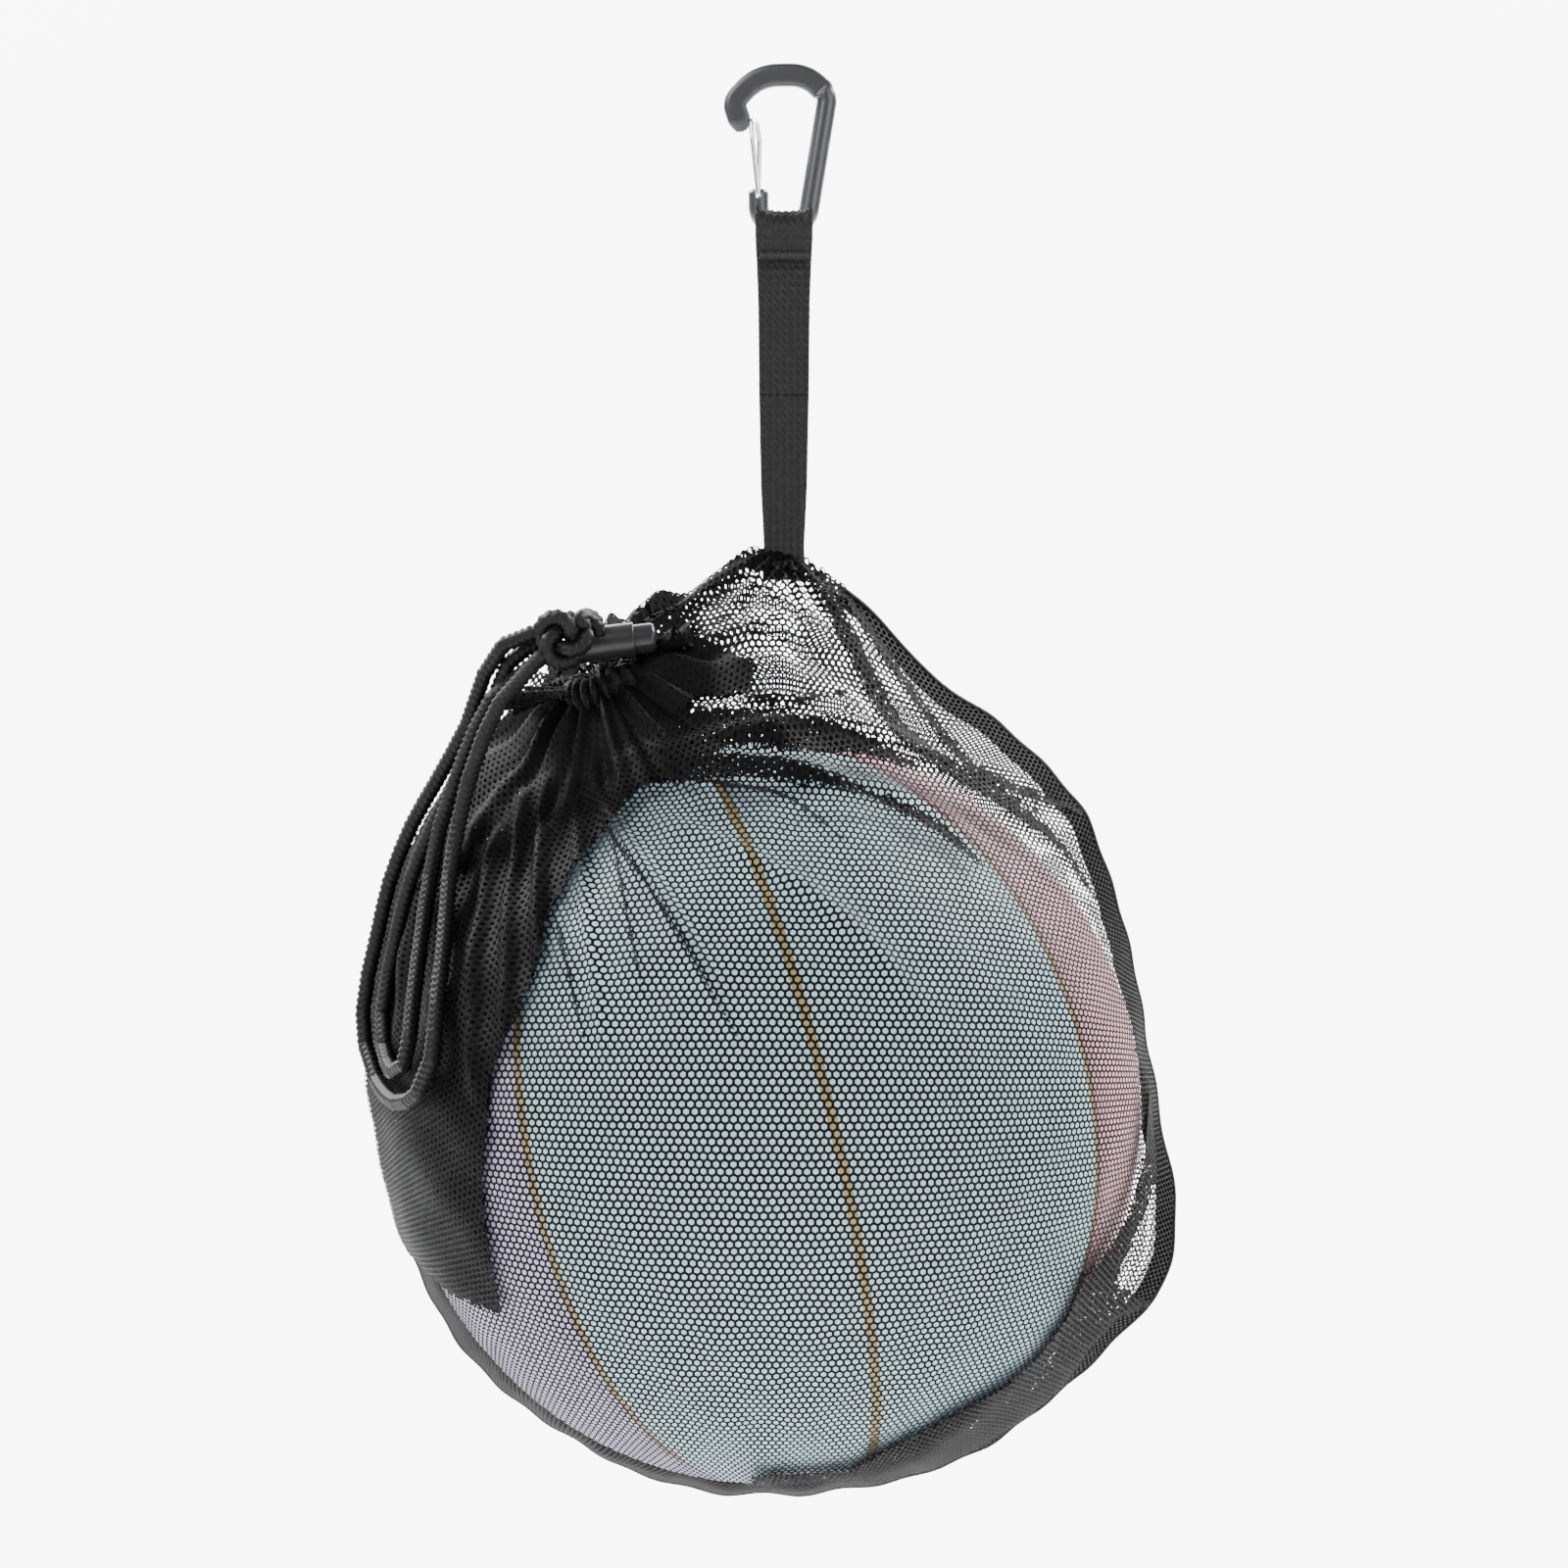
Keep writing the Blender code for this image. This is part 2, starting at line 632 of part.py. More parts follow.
# ---------------------------------------------------------------- cord lock
LOCK_AXIS = Vector((math.cos(math.radians(LOCK_TILT_DEG)), 0,
                    math.sin(math.radians(LOCK_TILT_DEG))))
CORD_OUT = (FRONT_BACK * -math.sin(math.radians(LOCK_LEAN_DEG))
            + LOCK_AXIS.cross(FRONT_BACK) * math.cos(math.radians(LOCK_LEAN_DEG)))
CORD_ASIDE = LOCK_AXIS.cross(CORD_OUT)
SLOT_CENTRE = MOUTH + CORD_OUT * LOCK_FROM_MOUTH
LOCK_END = SLOT_CENTRE - LOCK_AXIS * LOCK_SLOT_FROM_END


def turned(profile, count=20):
    """A solid turned round the lock's axis from (along, radius) pairs, closed on the axis."""
    bm = bmesh.new()
    rows = []
    for along, radius in profile:
        centre = LOCK_END + LOCK_AXIS * along
        if radius == 0:
            rows.append([bm.verts.new(centre)])
        else:
            rows.append([bm.verts.new(centre + CORD_OUT * (radius * math.cos(2 * math.pi * i / count))
                                      + CORD_ASIDE * (radius * math.sin(2 * math.pi * i / count)))
                         for i in range(count)])
    for low, high in zip(rows, rows[1:]):
        for i in range(count):
            j = (i + 1) % count
            if len(low) == 1:
                bm.faces.new((low[0], high[j], high[i]))
            elif len(high) == 1:
                bm.faces.new((low[i], low[j], high[0]))
            else:
                bm.faces.new((low[i], low[j], high[j], high[i]))
    return bm


def slot_block(start, end, half_wide):
    """The cutter for a cord slot: start and end along the axis, right through the lock."""
    rings = []
    for out in (-2 * LOCK_RADIUS, 2 * LOCK_RADIUS):
        ring = []
        corner = SQUEEZED_RADIUS / 2
        for sx, sy in ((-1, -1), (1, -1), (1, 1), (-1, 1)):
            middle = (start + end) / 2
            along = middle + sx * (end - start) / 2
            aside = sy * half_wide
            trims = [(along - sx * corner, aside), (along, aside - sy * corner)]
            for a, b in (trims if sx != sy else reversed(trims)):
                ring.append(LOCK_END + LOCK_AXIS * a + CORD_ASIDE * b + CORD_OUT * out)
        rings.append(ring)
    return loft(rings)


def build_lock():
    """Barrel, button and spring. The spring pushes the button out, and the button's slot
    then pinches the cords against the barrel's."""
    slot_half = SQUEEZED_RADIUS + GAP
    slot_wide = 2 * SQUEEZED_RADIUS + 2 * GAP
    bore = LOCK_RADIUS - LOCK_WALL
    length = LOCK_BARREL_LENGTH
    barrel = add_mesh("lock_barrel", turned([
        (0, 0), (0, LOCK_RADIUS - 0.0012), (0.0004, LOCK_RADIUS - 0.0004), (0.0014, LOCK_RADIUS),
        (length - 0.0004, LOCK_RADIUS), (length, LOCK_RADIUS - 0.0003), (length, bore),
        (LOCK_END_WALL, bore), (LOCK_END_WALL, 0),
    ]), nylon_black)
    middle = LOCK_SLOT_FROM_END
    cut(barrel, cutter("barrel_slot", slot_block(middle - slot_half, middle + slot_half,
                                                 slot_wide)))
    button_radius = bore - GAP
    inner_end = middle - slot_half - 0.0016
    tip = length + LOCK_BUTTON_LENGTH
    button = add_mesh("lock_button", turned([
        (inner_end, 0), (inner_end, button_radius), (tip - 0.0022, button_radius),
        (tip - 0.0010, button_radius - 0.0005), (tip - 0.0002, button_radius - 0.0017), (tip, 0),
    ]), nylon_black)
    cut(button, cutter("button_slot", slot_block(middle - slot_half,
                                                 middle + slot_half + LOCK_TRAVEL, slot_wide)))
    start = LOCK_END_WALL + GAP + SPRING_WIRE_RADIUS
    end = inner_end - GAP - SPRING_WIRE_RADIUS
    steps = round(SPRING_TURNS * 10)
    coil = []
    for k in range(steps + 1):
        turn = 2 * math.pi * SPRING_TURNS * k / steps
        coil.append(LOCK_END + LOCK_AXIS * (start + (end - start) * k / steps)
                    + CORD_OUT * (SPRING_COIL_RADIUS * math.cos(turn))
                    + CORD_ASIDE * (SPRING_COIL_RADIUS * math.sin(turn)))
    tube("lock_spring", coil, SPRING_WIRE_RADIUS, spring_steel, 1)


# ---------------------------------------------------------------- drawcord
# the loops' places are from the ball's centre, and hand-laid over the net and the tuck
KNOT_CENTRE = BALL_CENTRE + Vector((-0.0650, -0.0420, 0.1518))
OUTER_LOOP = (
    (-0.0752, -0.0420, 0.1534), (-0.0841, -0.0400, 0.1499), (-0.0904, -0.0350, 0.1407),
    (-0.0962, -0.0290, 0.1248), (-0.1066, -0.0220, 0.1064), (-0.1146, -0.0170, 0.0928),
    (-0.1219, -0.0130, 0.0750), (-0.1260, -0.0110, 0.0581), (-0.1292, -0.0100, 0.0445),
    (-0.1308, -0.0110, 0.0324), (-0.1298, -0.0140, 0.0220), (-0.1254, -0.0245, 0.0112),
    (-0.1174, -0.0500, 0.0055), (-0.1095, -0.0655, 0.0093), (-0.1050, -0.0705, 0.0201),
    (-0.1035, -0.0660, 0.0366), (-0.1019, -0.0550, 0.0566), (-0.1009, -0.0440, 0.0766),
    (-0.0984, -0.0400, 0.0928), (-0.0949, -0.0410, 0.1074), (-0.0898, -0.0430, 0.1216),
    (-0.0847, -0.0450, 0.1318), (-0.0784, -0.0460, 0.1388),
)
INNER_LOOP = (
    (-0.0768, -0.0375, 0.1489), (-0.0828, -0.0360, 0.1439), (-0.0869, -0.0330, 0.1343),
    (-0.0917, -0.0300, 0.1210), (-0.1006, -0.0265, 0.1058), (-0.1079, -0.0240, 0.0915),
    (-0.1149, -0.0215, 0.0750), (-0.1193, -0.0195, 0.0581), (-0.1222, -0.0190, 0.0445),
    (-0.1238, -0.0215, 0.0324), (-0.1228, -0.0285, 0.0220), (-0.1187, -0.0450, 0.0147),
    (-0.1146, -0.0540, 0.0175), (-0.1127, -0.0555, 0.0264), (-0.1120, -0.0505, 0.0366),
    (-0.1101, -0.0400, 0.0566), (-0.1076, -0.0320, 0.0766), (-0.1044, -0.0320, 0.0928),
    (-0.0993, -0.0350, 0.1074), (-0.0930, -0.0370, 0.1232), (-0.0879, -0.0385, 0.1328),
    (-0.0809, -0.0390, 0.1388),
)


def build_knot():
    """An overhand knot in the doubled cord, as its closed outer shape with three lobes."""
    bm = bmesh.new()
    columns, rows = 18, 8
    rings = []
    for r in range(1, rows):
        polar = math.pi * r / rows
        ring = []
        for c in range(columns):
            turn = 2 * math.pi * c / columns
            lobe = 1 + KNOT_LOBE_SHARE * math.cos(KNOT_LOBES * turn + 0.6) * math.sin(polar)
            ring.append(bm.verts.new(KNOT_CENTRE + Vector((
                KNOT_HALF_WIDE * lobe * math.sin(polar) * math.cos(turn),
                KNOT_HALF_DEEP * math.cos(polar),
                KNOT_HALF_HIGH * lobe * math.sin(polar) * math.sin(turn)))))
        rings.append(ring)
    ends = [bm.verts.new(KNOT_CENTRE + FRONT_BACK * y)
            for y in (KNOT_HALF_DEEP, -KNOT_HALF_DEEP)]
    for c in range(columns):
        d = (c + 1) % columns
        bm.faces.new((ends[0], rings[0][c], rings[0][d]))
        bm.faces.new((ends[1], rings[-1][d], rings[-1][c]))
        for low, high in zip(rings, rings[1:]):
            bm.faces.new((low[c], high[c], high[d], low[d]))
    add_mesh("drawcord_knot", bm, cord_black)


def build_drawcord():
    build_knot()
    for name, points in (("drawcord_outer_loop", OUTER_LOOP), ("drawcord_inner_loop", INNER_LOOP)):
        laid = [BALL_CENTRE + Vector(p) for p in points]
        route = smooth_route(laid, 5 * CORD_RADIUS)
        tube(name, route, CORD_RADIUS, cord_black)
    for name, side in (("cord_stem_front", 1), ("cord_stem_back", -1)):
        aside = CORD_ASIDE * (side * (SQUEEZED_RADIUS + GAP / 2))
        low = MOUTH + MOUTH_OUT * -0.003 + aside
        high = SLOT_CENTRE + CORD_OUT * (LOCK_RADIUS + 0.0022) + aside
        clear = MOUTH + MOUTH_OUT * (HEM_HEIGHT + HEM_RADIUS * 0.7) + aside
        under = SLOT_CENTRE - CORD_OUT * (LOCK_RADIUS + 0.0020) + aside
        route = [low, clear, under, SLOT_CENTRE + aside, high]
        tube(name, route, SQUEEZED_RADIUS, cord_black)


# ---------------------------------------------------------------- ball
CAP_AXIS = Vector((0.959, 0.168, 0.227)).normalized()
FRONT_POLE = Vector((0.177, -0.984, -0.023))
FRONT_POLE = (FRONT_POLE - CAP_AXIS * FRONT_POLE.dot(CAP_AXIS)).normalized()
UP_POLE = FRONT_POLE.cross(CAP_AXIS).normalized()


def ball_direction(latitude, longitude):
    """Latitude from the centre seam towards the cap, longitude round it from the front pole."""
    flat = FRONT_POLE * math.cos(longitude) + UP_POLE * math.sin(longitude)
    return flat * math.cos(latitude) + CAP_AXIS * math.sin(latitude)


def side_seam_latitude(longitude):
    """The curved side seam bows out at the poles and dips towards the cross seam."""
    t = longitude / (math.pi / 2)
    return math.asin(0.749 * (1 - 0.42 * t**2 - 0.30 * t**4))


def panel_grid(directions, radius):
    """Points on the panel's face, with its edge rolled down into the channel."""
    rows = len(directions)
    columns = len(directions[0])
    grid = []
    for r, row in enumerate(directions):
        points = []
        for c, direction in enumerate(row):
            edge = r in (0, rows - 1) or c in (0, columns - 1)
            points.append(BALL_CENTRE + direction * (radius - (CHANNEL_DROP if edge else 0)))
        grid.append(points)
    return grid


def build_panel(name, directions, finish):
    outer = panel_grid(directions, BALL_RADIUS)
    inside = BALL_RADIUS - PANEL_THICKNESS
    inner = [[BALL_CENTRE + d * inside for d in row] for row in directions]
    add_mesh(name, sheet_solid(outer, inner), finish)


def build_ball():
    """Eight cover panels on a moulded carcass, with an inflation valve at the back."""
    margin = CHANNEL_HALF_WIDTH / BALL_RADIUS
    reach = math.pi / 2 - margin
    for half, faces_front in (("front", 0), ("back", 1)):
        turn = math.pi * faces_front
        for side, hand in (("left", -1), ("right", 1)):
            centre_rows = []
            cap_rows = []
            count = 16
            for i in range(count + 1):
                longitude = reach * (2 * i / count - 1)
                seam = side_seam_latitude(longitude)
                centre_rows.append([
                    ball_direction(hand * (margin + (seam - 2 * margin) * c / 5), longitude + turn)
                    for c in range(6)
                ])
                start = ball_direction(hand * (seam + margin), longitude + turn)
                sweep = (math.pi / 2 - side_seam_latitude(reach) - margin) * (2 * i / count - 1)
                pole = FRONT_POLE * math.cos(turn)
                rim = CAP_AXIS * (hand * math.cos(sweep)) + UP_POLE * (
                    math.sin(sweep) * math.cos(turn))
                end = (rim * math.cos(margin) + pole * math.sin(margin)).normalized()
                cap_rows.append([start.slerp(end, c / 5) for c in range(6)])
            trim = slice(1, count)
            build_panel(f"ball_{half}_{side}_centre_panel", centre_rows, panel_blue)
            build_panel(f"ball_{half}_{side}_cap_panel", cap_rows[trim],
                        panel_pink if hand > 0 else panel_lavender)

    # the carcass: a hollow sphere with the valve's hole through its back
    outside = BALL_RADIUS - PANEL_THICKNESS - GAP - FACET_ROOM
    bm = bmesh.new()
    bmesh.ops.create_uvsphere(bm, u_segments=32, v_segments=16, radius=outside)
    carcass = add_mesh("ball_carcass", bm, channel_gold)
    carcass.location = BALL_CENTRE
    bm = bmesh.new()
    bmesh.ops.create_uvsphere(bm, u_segments=24, v_segments=12, radius=outside - CARCASS_WALL)
    hollow = cutter("ball_hollow", bm)
    hollow.location = BALL_CENTRE
    cut(carcass, hollow)
    valve_out = ball_direction(0.0, math.pi * 0.94)
    base = BALL_CENTRE + valve_out * (outside - CARCASS_WALL - 0.004)
    mouth = BALL_CENTRE + valve_out * (outside + 0.001)
    cut(carcass, cutter("valve_hole", cylinder(base, mouth, VALVE_RADIUS + GAP, 12)))
    seat = BALL_CENTRE + valve_out * (outside - CARCASS_WALL)
    face = BALL_CENTRE + valve_out * (outside - 0.0002)
    valve = add_mesh("ball_valve", cylinder(seat, face, VALVE_RADIUS, 12), valve_rubber)
    cut(valve, cutter("needle_hole", cylinder(base, mouth, 0.0008, 8)))


pivot_point, nose_notch = build_carabiner()
build_wire_gate(pivot_point, nose_notch)
build_strap()
build_bag()
build_mouth()
build_lock()
build_drawcord()
build_ball()
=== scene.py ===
import math

import bmesh
import bpy
import numpy as np
from mathutils import Matrix, Vector


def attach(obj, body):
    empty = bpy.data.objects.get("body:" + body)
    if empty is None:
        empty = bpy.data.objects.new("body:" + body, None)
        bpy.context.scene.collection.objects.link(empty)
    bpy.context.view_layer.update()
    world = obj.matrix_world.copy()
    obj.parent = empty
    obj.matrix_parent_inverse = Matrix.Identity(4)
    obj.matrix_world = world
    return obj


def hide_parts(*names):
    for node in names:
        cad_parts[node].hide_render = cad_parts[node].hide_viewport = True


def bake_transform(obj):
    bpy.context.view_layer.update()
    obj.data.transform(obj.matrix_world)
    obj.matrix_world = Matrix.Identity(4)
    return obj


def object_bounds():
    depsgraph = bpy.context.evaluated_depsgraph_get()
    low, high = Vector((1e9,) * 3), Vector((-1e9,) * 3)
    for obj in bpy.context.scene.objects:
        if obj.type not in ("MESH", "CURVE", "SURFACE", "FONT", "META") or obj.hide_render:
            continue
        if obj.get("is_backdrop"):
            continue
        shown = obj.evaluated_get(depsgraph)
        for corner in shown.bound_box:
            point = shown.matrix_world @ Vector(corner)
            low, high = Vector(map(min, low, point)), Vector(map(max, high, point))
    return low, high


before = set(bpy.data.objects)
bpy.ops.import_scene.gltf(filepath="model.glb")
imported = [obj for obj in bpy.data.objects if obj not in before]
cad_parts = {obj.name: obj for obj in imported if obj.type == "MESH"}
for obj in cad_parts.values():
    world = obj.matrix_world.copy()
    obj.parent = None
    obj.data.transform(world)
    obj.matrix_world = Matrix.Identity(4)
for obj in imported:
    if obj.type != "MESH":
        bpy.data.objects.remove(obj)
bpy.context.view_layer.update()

# The camera stands 1.8 m in front of the bag, level with its middle, and looks square on at it.
# At the strap's depth the view is 0.508 m wide.
EYE_AWAY = 1.8
EYE_HEIGHT = -0.226
VIEW_WIDTH = 0.5079
camera_data = bpy.data.cameras.new("camera")
camera_data.sensor_width = 36.0
camera_data.lens = camera_data.sensor_width * EYE_AWAY / VIEW_WIDTH
camera = bpy.data.objects.new("camera", camera_data)
camera.location = (0.0, -EYE_AWAY, EYE_HEIGHT)
camera.rotation_euler = (math.radians(90), 0, 0)
bpy.context.scene.collection.objects.link(camera)
bpy.context.scene.camera = camera

# The drawcord: one round knitted polyester cord, 4.3 mm across, that runs through the mouth's
# hem. Past the cord lock it is tied in an overhand knot, and the rest of it hangs from the knot
# in two loops, one inside the other.
CORD_RADIUS = 0.00215
LOOP_FULLNESS = 1.12        # a slack cord's knit stands out past its pulled width


def finish_of(name, colour, roughness, metallic=0.0, sheen=0.0, specular=0.5):
    """A Principled material, its shader and its node tree."""
    made = bpy.data.materials.new(name)
    made.use_nodes = True
    tree = made.node_tree
    shader = tree.nodes["Principled BSDF"]
    shader.inputs["Base Color"].default_value = (*colour, 1.0)
    shader.inputs["Roughness"].default_value = roughness
    shader.inputs["Metallic"].default_value = metallic
    shader.inputs["Sheen Weight"].default_value = sheen
    shader.inputs["Specular IOR Level"].default_value = specular
    return made, shader, tree


def grain(tree, shader, scale, strength, distance, kind="ShaderNodeTexNoise", detail=3.0):
    """Fine relief on a material, in metres on the piece itself."""
    place = tree.nodes.new("ShaderNodeTexCoord")
    texture = tree.nodes.new(kind)
    texture.inputs["Scale"].default_value = scale
    if kind == "ShaderNodeTexNoise":
        texture.inputs["Detail"].default_value = detail
    bump = tree.nodes.new("ShaderNodeBump")
    bump.inputs["Strength"].default_value = strength
    bump.inputs["Distance"].default_value = distance
    tree.links.new(place.outputs["Object"], texture.inputs["Vector"])
    out = "Distance" if kind == "ShaderNodeTexVoronoi" else "Fac"
    tree.links.new(texture.outputs[out], bump.inputs["Height"])
    tree.links.new(bump.outputs["Normal"], shader.inputs["Normal"])
    return texture


def put(name, points, faces, finish, smooth=True):
    """A mesh object from arrays of points and of faces that all have the same corner count."""
    mesh = bpy.data.meshes.new(name)
    points = np.asarray(points, float).reshape(-1, 3)
    faces = np.asarray(faces, int)
    count, corners = faces.shape
    mesh.vertices.add(len(points))
    mesh.vertices.foreach_set("co", points.ravel())
    mesh.loops.add(count * corners)
    mesh.loops.foreach_set("vertex_index", faces.ravel())
    mesh.polygons.add(count)
    mesh.polygons.foreach_set("loop_start", np.arange(0, count * corners, corners))
    mesh.update(calc_edges=True)
    mesh.validate()
    mesh.polygons.foreach_set("use_smooth", np.full(len(mesh.polygons), smooth))
    mesh.materials.append(finish)
    made = bpy.data.objects.new(name, mesh)
    bpy.context.scene.collection.objects.link(made)
    return made


def grid_faces(rows, columns, closed=False):
    """Quads of a grid of points, joined round its columns when closed."""
    r, c = np.meshgrid(np.arange(rows - 1), np.arange(columns if closed else columns - 1),
                       indexing="ij")
    d = (c + 1) % columns
    return np.stack([r * columns + c, r * columns + d, (r + 1) * columns + d,
                     (r + 1) * columns + c], -1).reshape(-1, 4)


def smooth_line(points, step):
    """Points about step apart along a smooth curve through the given ones."""
    p = np.array(points, float)
    ends = np.vstack([2 * p[0] - p[1], p, 2 * p[-1] - p[-2]])
    line = [p[:1]]
    for a, b, c, d in zip(ends, ends[1:], ends[2:], ends[3:]):
        count = max(1, round(float(np.linalg.norm(c - b)) / step))
        t = (np.arange(1, count + 1) / count)[:, None]
        line.append(0.5 * (2 * b + (c - a) * t + (2 * a - 5 * b + 4 * c - d) * t**2
                           + (3 * b - a - 3 * c + d) * t**3))
    return np.vstack(line)


def even_line(points, step):
    """The same line with its points evenly spaced."""
    along = np.concatenate([[0], np.cumsum(np.linalg.norm(np.diff(points, axis=0), axis=1))])
    at = np.linspace(0, along[-1], max(2, int(round(along[-1] / step)) + 1))
    return np.stack([np.interp(at, along, points[:, k]) for k in range(3)], 1), at


def frames_along(line):
    """Two directions square to a line at each point, which don't twist along it."""
    tangent = np.gradient(line, axis=0)
    tangent /= np.linalg.norm(tangent, axis=1)[:, None]
    side = np.cross(tangent[0], (0.3, 0.5, 0.81))
    sides = []
    for t in tangent:
        side = side - t * (side @ t)
        side /= np.linalg.norm(side)
        sides.append(side)
    sides = np.array(sides)
    return sides, np.cross(tangent, sides)


def knitted_cord(name, line, radius, finish, around=20, step=0.00045, squeeze=None):
    """A round cord of knitted chevron stitches with rounded ends, and the route it follows."""
    route, at = even_line(line, step)
    side, other = frames_along(route)
    turn = np.linspace(0, 2 * np.pi, around, endpoint=False)
    along, angle = np.meshgrid(at, turn, indexing="ij")
    wale = (angle / (2 * np.pi) * 5.0) % 1.0
    leg = np.abs(wale - 0.5) * 2.0
    stitch = 0.5 + 0.5 * np.cos(2 * np.pi * (along / 0.0022 + leg * 0.55))
    groove = np.exp(-((leg - 1.0) / 0.22) ** 2) + 0.6 * np.exp(-(leg / 0.16) ** 2)
    relief = radius * (1.0 + 0.05 + 0.22 * (stitch - 0.5) - 0.20 * groove)
    if squeeze is not None:
        relief = relief * squeeze(at)[:, None]
    total = at[-1]
    nearest = np.minimum(at, total - at) / radius
    cap = np.sqrt(np.clip(1 - (1 - np.clip(nearest, 0, 1)) ** 2, 0.02, 1))[:, None]
    reach = relief * cap
    points = (route[:, None] + side[:, None] * (np.cos(angle) * reach)[..., None]
              + other[:, None] * (np.sin(angle) * reach)[..., None])
    return put(name, points, grid_faces(len(route), around, closed=True), finish), route


KNOT_CENTRE = np.array((-0.0698, -0.0420, -0.1800))
OUTER_LOOP = (
    (-0.0742, -0.0425, -0.1772),
    (-0.0800, -0.0420, -0.1784), (-0.0889, -0.0400, -0.1819), (-0.0952, -0.0350, -0.1911),
    (-0.1010, -0.0290, -0.2070), (-0.1114, -0.0220, -0.2254), (-0.1194, -0.0170, -0.2390),
    (-0.1267, -0.0130, -0.2568), (-0.1308, -0.0110, -0.2737), (-0.1340, -0.0100, -0.2873),
    (-0.1356, -0.0110, -0.2994), (-0.1346, -0.0140, -0.3098), (-0.1302, -0.0245, -0.3206),
    (-0.1222, -0.0500, -0.3263), (-0.1143, -0.0655, -0.3225), (-0.1098, -0.0705, -0.3117),
    (-0.1083, -0.0660, -0.2952), (-0.1067, -0.0550, -0.2752), (-0.1057, -0.0440, -0.2552),
    (-0.1032, -0.0400, -0.2390), (-0.0997, -0.0410, -0.2244), (-0.0946, -0.0430, -0.2102),
    (-0.0895, -0.0450, -0.2000), (-0.0832, -0.0460, -0.1930),
    (-0.0778, -0.0456, -0.1868), (-0.0738, -0.0440, -0.1828),
)
INNER_LOOP = (
    (-0.0752, -0.0385, -0.1808),
    (-0.0816, -0.0375, -0.1829), (-0.0876, -0.0360, -0.1879), (-0.0917, -0.0330, -0.1975),
    (-0.0965, -0.0300, -0.2108), (-0.1054, -0.0265, -0.2260), (-0.1127, -0.0240, -0.2403),
    (-0.1197, -0.0215, -0.2568), (-0.1241, -0.0195, -0.2737), (-0.1270, -0.0190, -0.2873),
    (-0.1286, -0.0215, -0.2994), (-0.1276, -0.0285, -0.3098), (-0.1235, -0.0450, -0.3171),
    (-0.1194, -0.0540, -0.3143), (-0.1175, -0.0555, -0.3054), (-0.1168, -0.0505, -0.2952),
    (-0.1149, -0.0400, -0.2752), (-0.1124, -0.0320, -0.2552), (-0.1092, -0.0320, -0.2390),
    (-0.1041, -0.0350, -0.2244), (-0.0978, -0.0370, -0.2086), (-0.0927, -0.0385, -0.1990),
    (-0.0857, -0.0390, -0.1930), (-0.0796, -0.0398, -0.1882), (-0.0745, -0.0408, -0.1842),
)
cord_black, shader, tree = finish_of("knitted_cord", (0.0042, 0.0042, 0.0046), 0.50,
                                    specular=0.18)
grain(tree, shader, 2600.0, 0.35, 0.0002)
for name, node, points in (("drawcord_outer", "drawcord_outer_loop", OUTER_LOOP),
                           ("drawcord_inner", "drawcord_inner_loop", INNER_LOOP)):
    loop, route = knitted_cord(name, smooth_line(points, 5 * CORD_RADIUS),
                               LOOP_FULLNESS * CORD_RADIUS, cord_black)
    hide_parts(node)
    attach(loop, "bag")

# The overhand knot: the doubled cord wound twice round itself and pulled up in three lobes.
# It keeps the cord lock from sliding off the cord's end.
STRAND_RADIUS = 0.0024


def merged(name, parts, finish):
    """One mesh object out of several made of quads."""
    points = []
    faces = []
    start = 0
    for part in parts:
        mesh = part.data
        place = np.zeros(len(mesh.vertices) * 3)
        mesh.vertices.foreach_get("co", place)
        corner = np.zeros(len(mesh.loops), int)
        mesh.loops.foreach_get("vertex_index", corner)
        points.append(place.reshape(-1, 3))
        faces.append(corner.reshape(-1, 4) + start)
        start += len(mesh.vertices)
        bpy.data.objects.remove(part)
    return put(name, np.vstack(points), np.vstack(faces), finish)


turn = np.linspace(0, 2 * np.pi, 260)
strands = []
for depth, spin, size in ((-0.0021, 0.35, 1.0), (0.0019, 0.75, 0.93)):
    ring = 0.0054 + 0.0024 * np.cos(3 * turn)
    strand = np.stack([size * ring * np.cos(2 * turn + spin),
                       depth + 0.0017 * np.sin(3 * turn),
                       size * ring * np.sin(2 * turn + spin)], 1) + KNOT_CENTRE
    piece, _ = knitted_cord("knot_strand", strand, STRAND_RADIUS, cord_black)
    strands.append(piece)
knot = merged("drawcord_knot_wound", strands, cord_black)
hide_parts("drawcord_knot")
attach(knot, "bag")

# The cord's two ends come up out of the mouth side by side, pass through the lock, where its
# sprung button squeezes them to 3.2 mm, and go on into the knot.
LOCK_AXIS = np.array((math.cos(math.radians(7)), 0.0, math.sin(math.radians(7))))
LEAN = math.radians(30)
UP_ACROSS = np.cross(LOCK_AXIS, (0.0, 1.0, 0.0))
CORD_OUT = np.array((0.0, -math.sin(LEAN), 0.0)) + UP_ACROSS * math.cos(LEAN)
CORD_ASIDE = np.cross(LOCK_AXIS, CORD_OUT)
MOUTH = np.array((-0.0567, -0.0200, -0.1966))
BALL = np.array((-0.0048, 0.0, -0.3318))
MOUTH_OUT = (MOUTH - BALL) / np.linalg.norm(MOUTH - BALL)
MOUTH_RIGHT = np.cross((0.0, 1.0, 0.0), MOUTH_OUT)
MOUTH_RIGHT /= np.linalg.norm(MOUTH_RIGHT)
MOUTH_BACK = np.cross(MOUTH_OUT, MOUTH_RIGHT)
SLOT = MOUTH + CORD_OUT * 0.0178
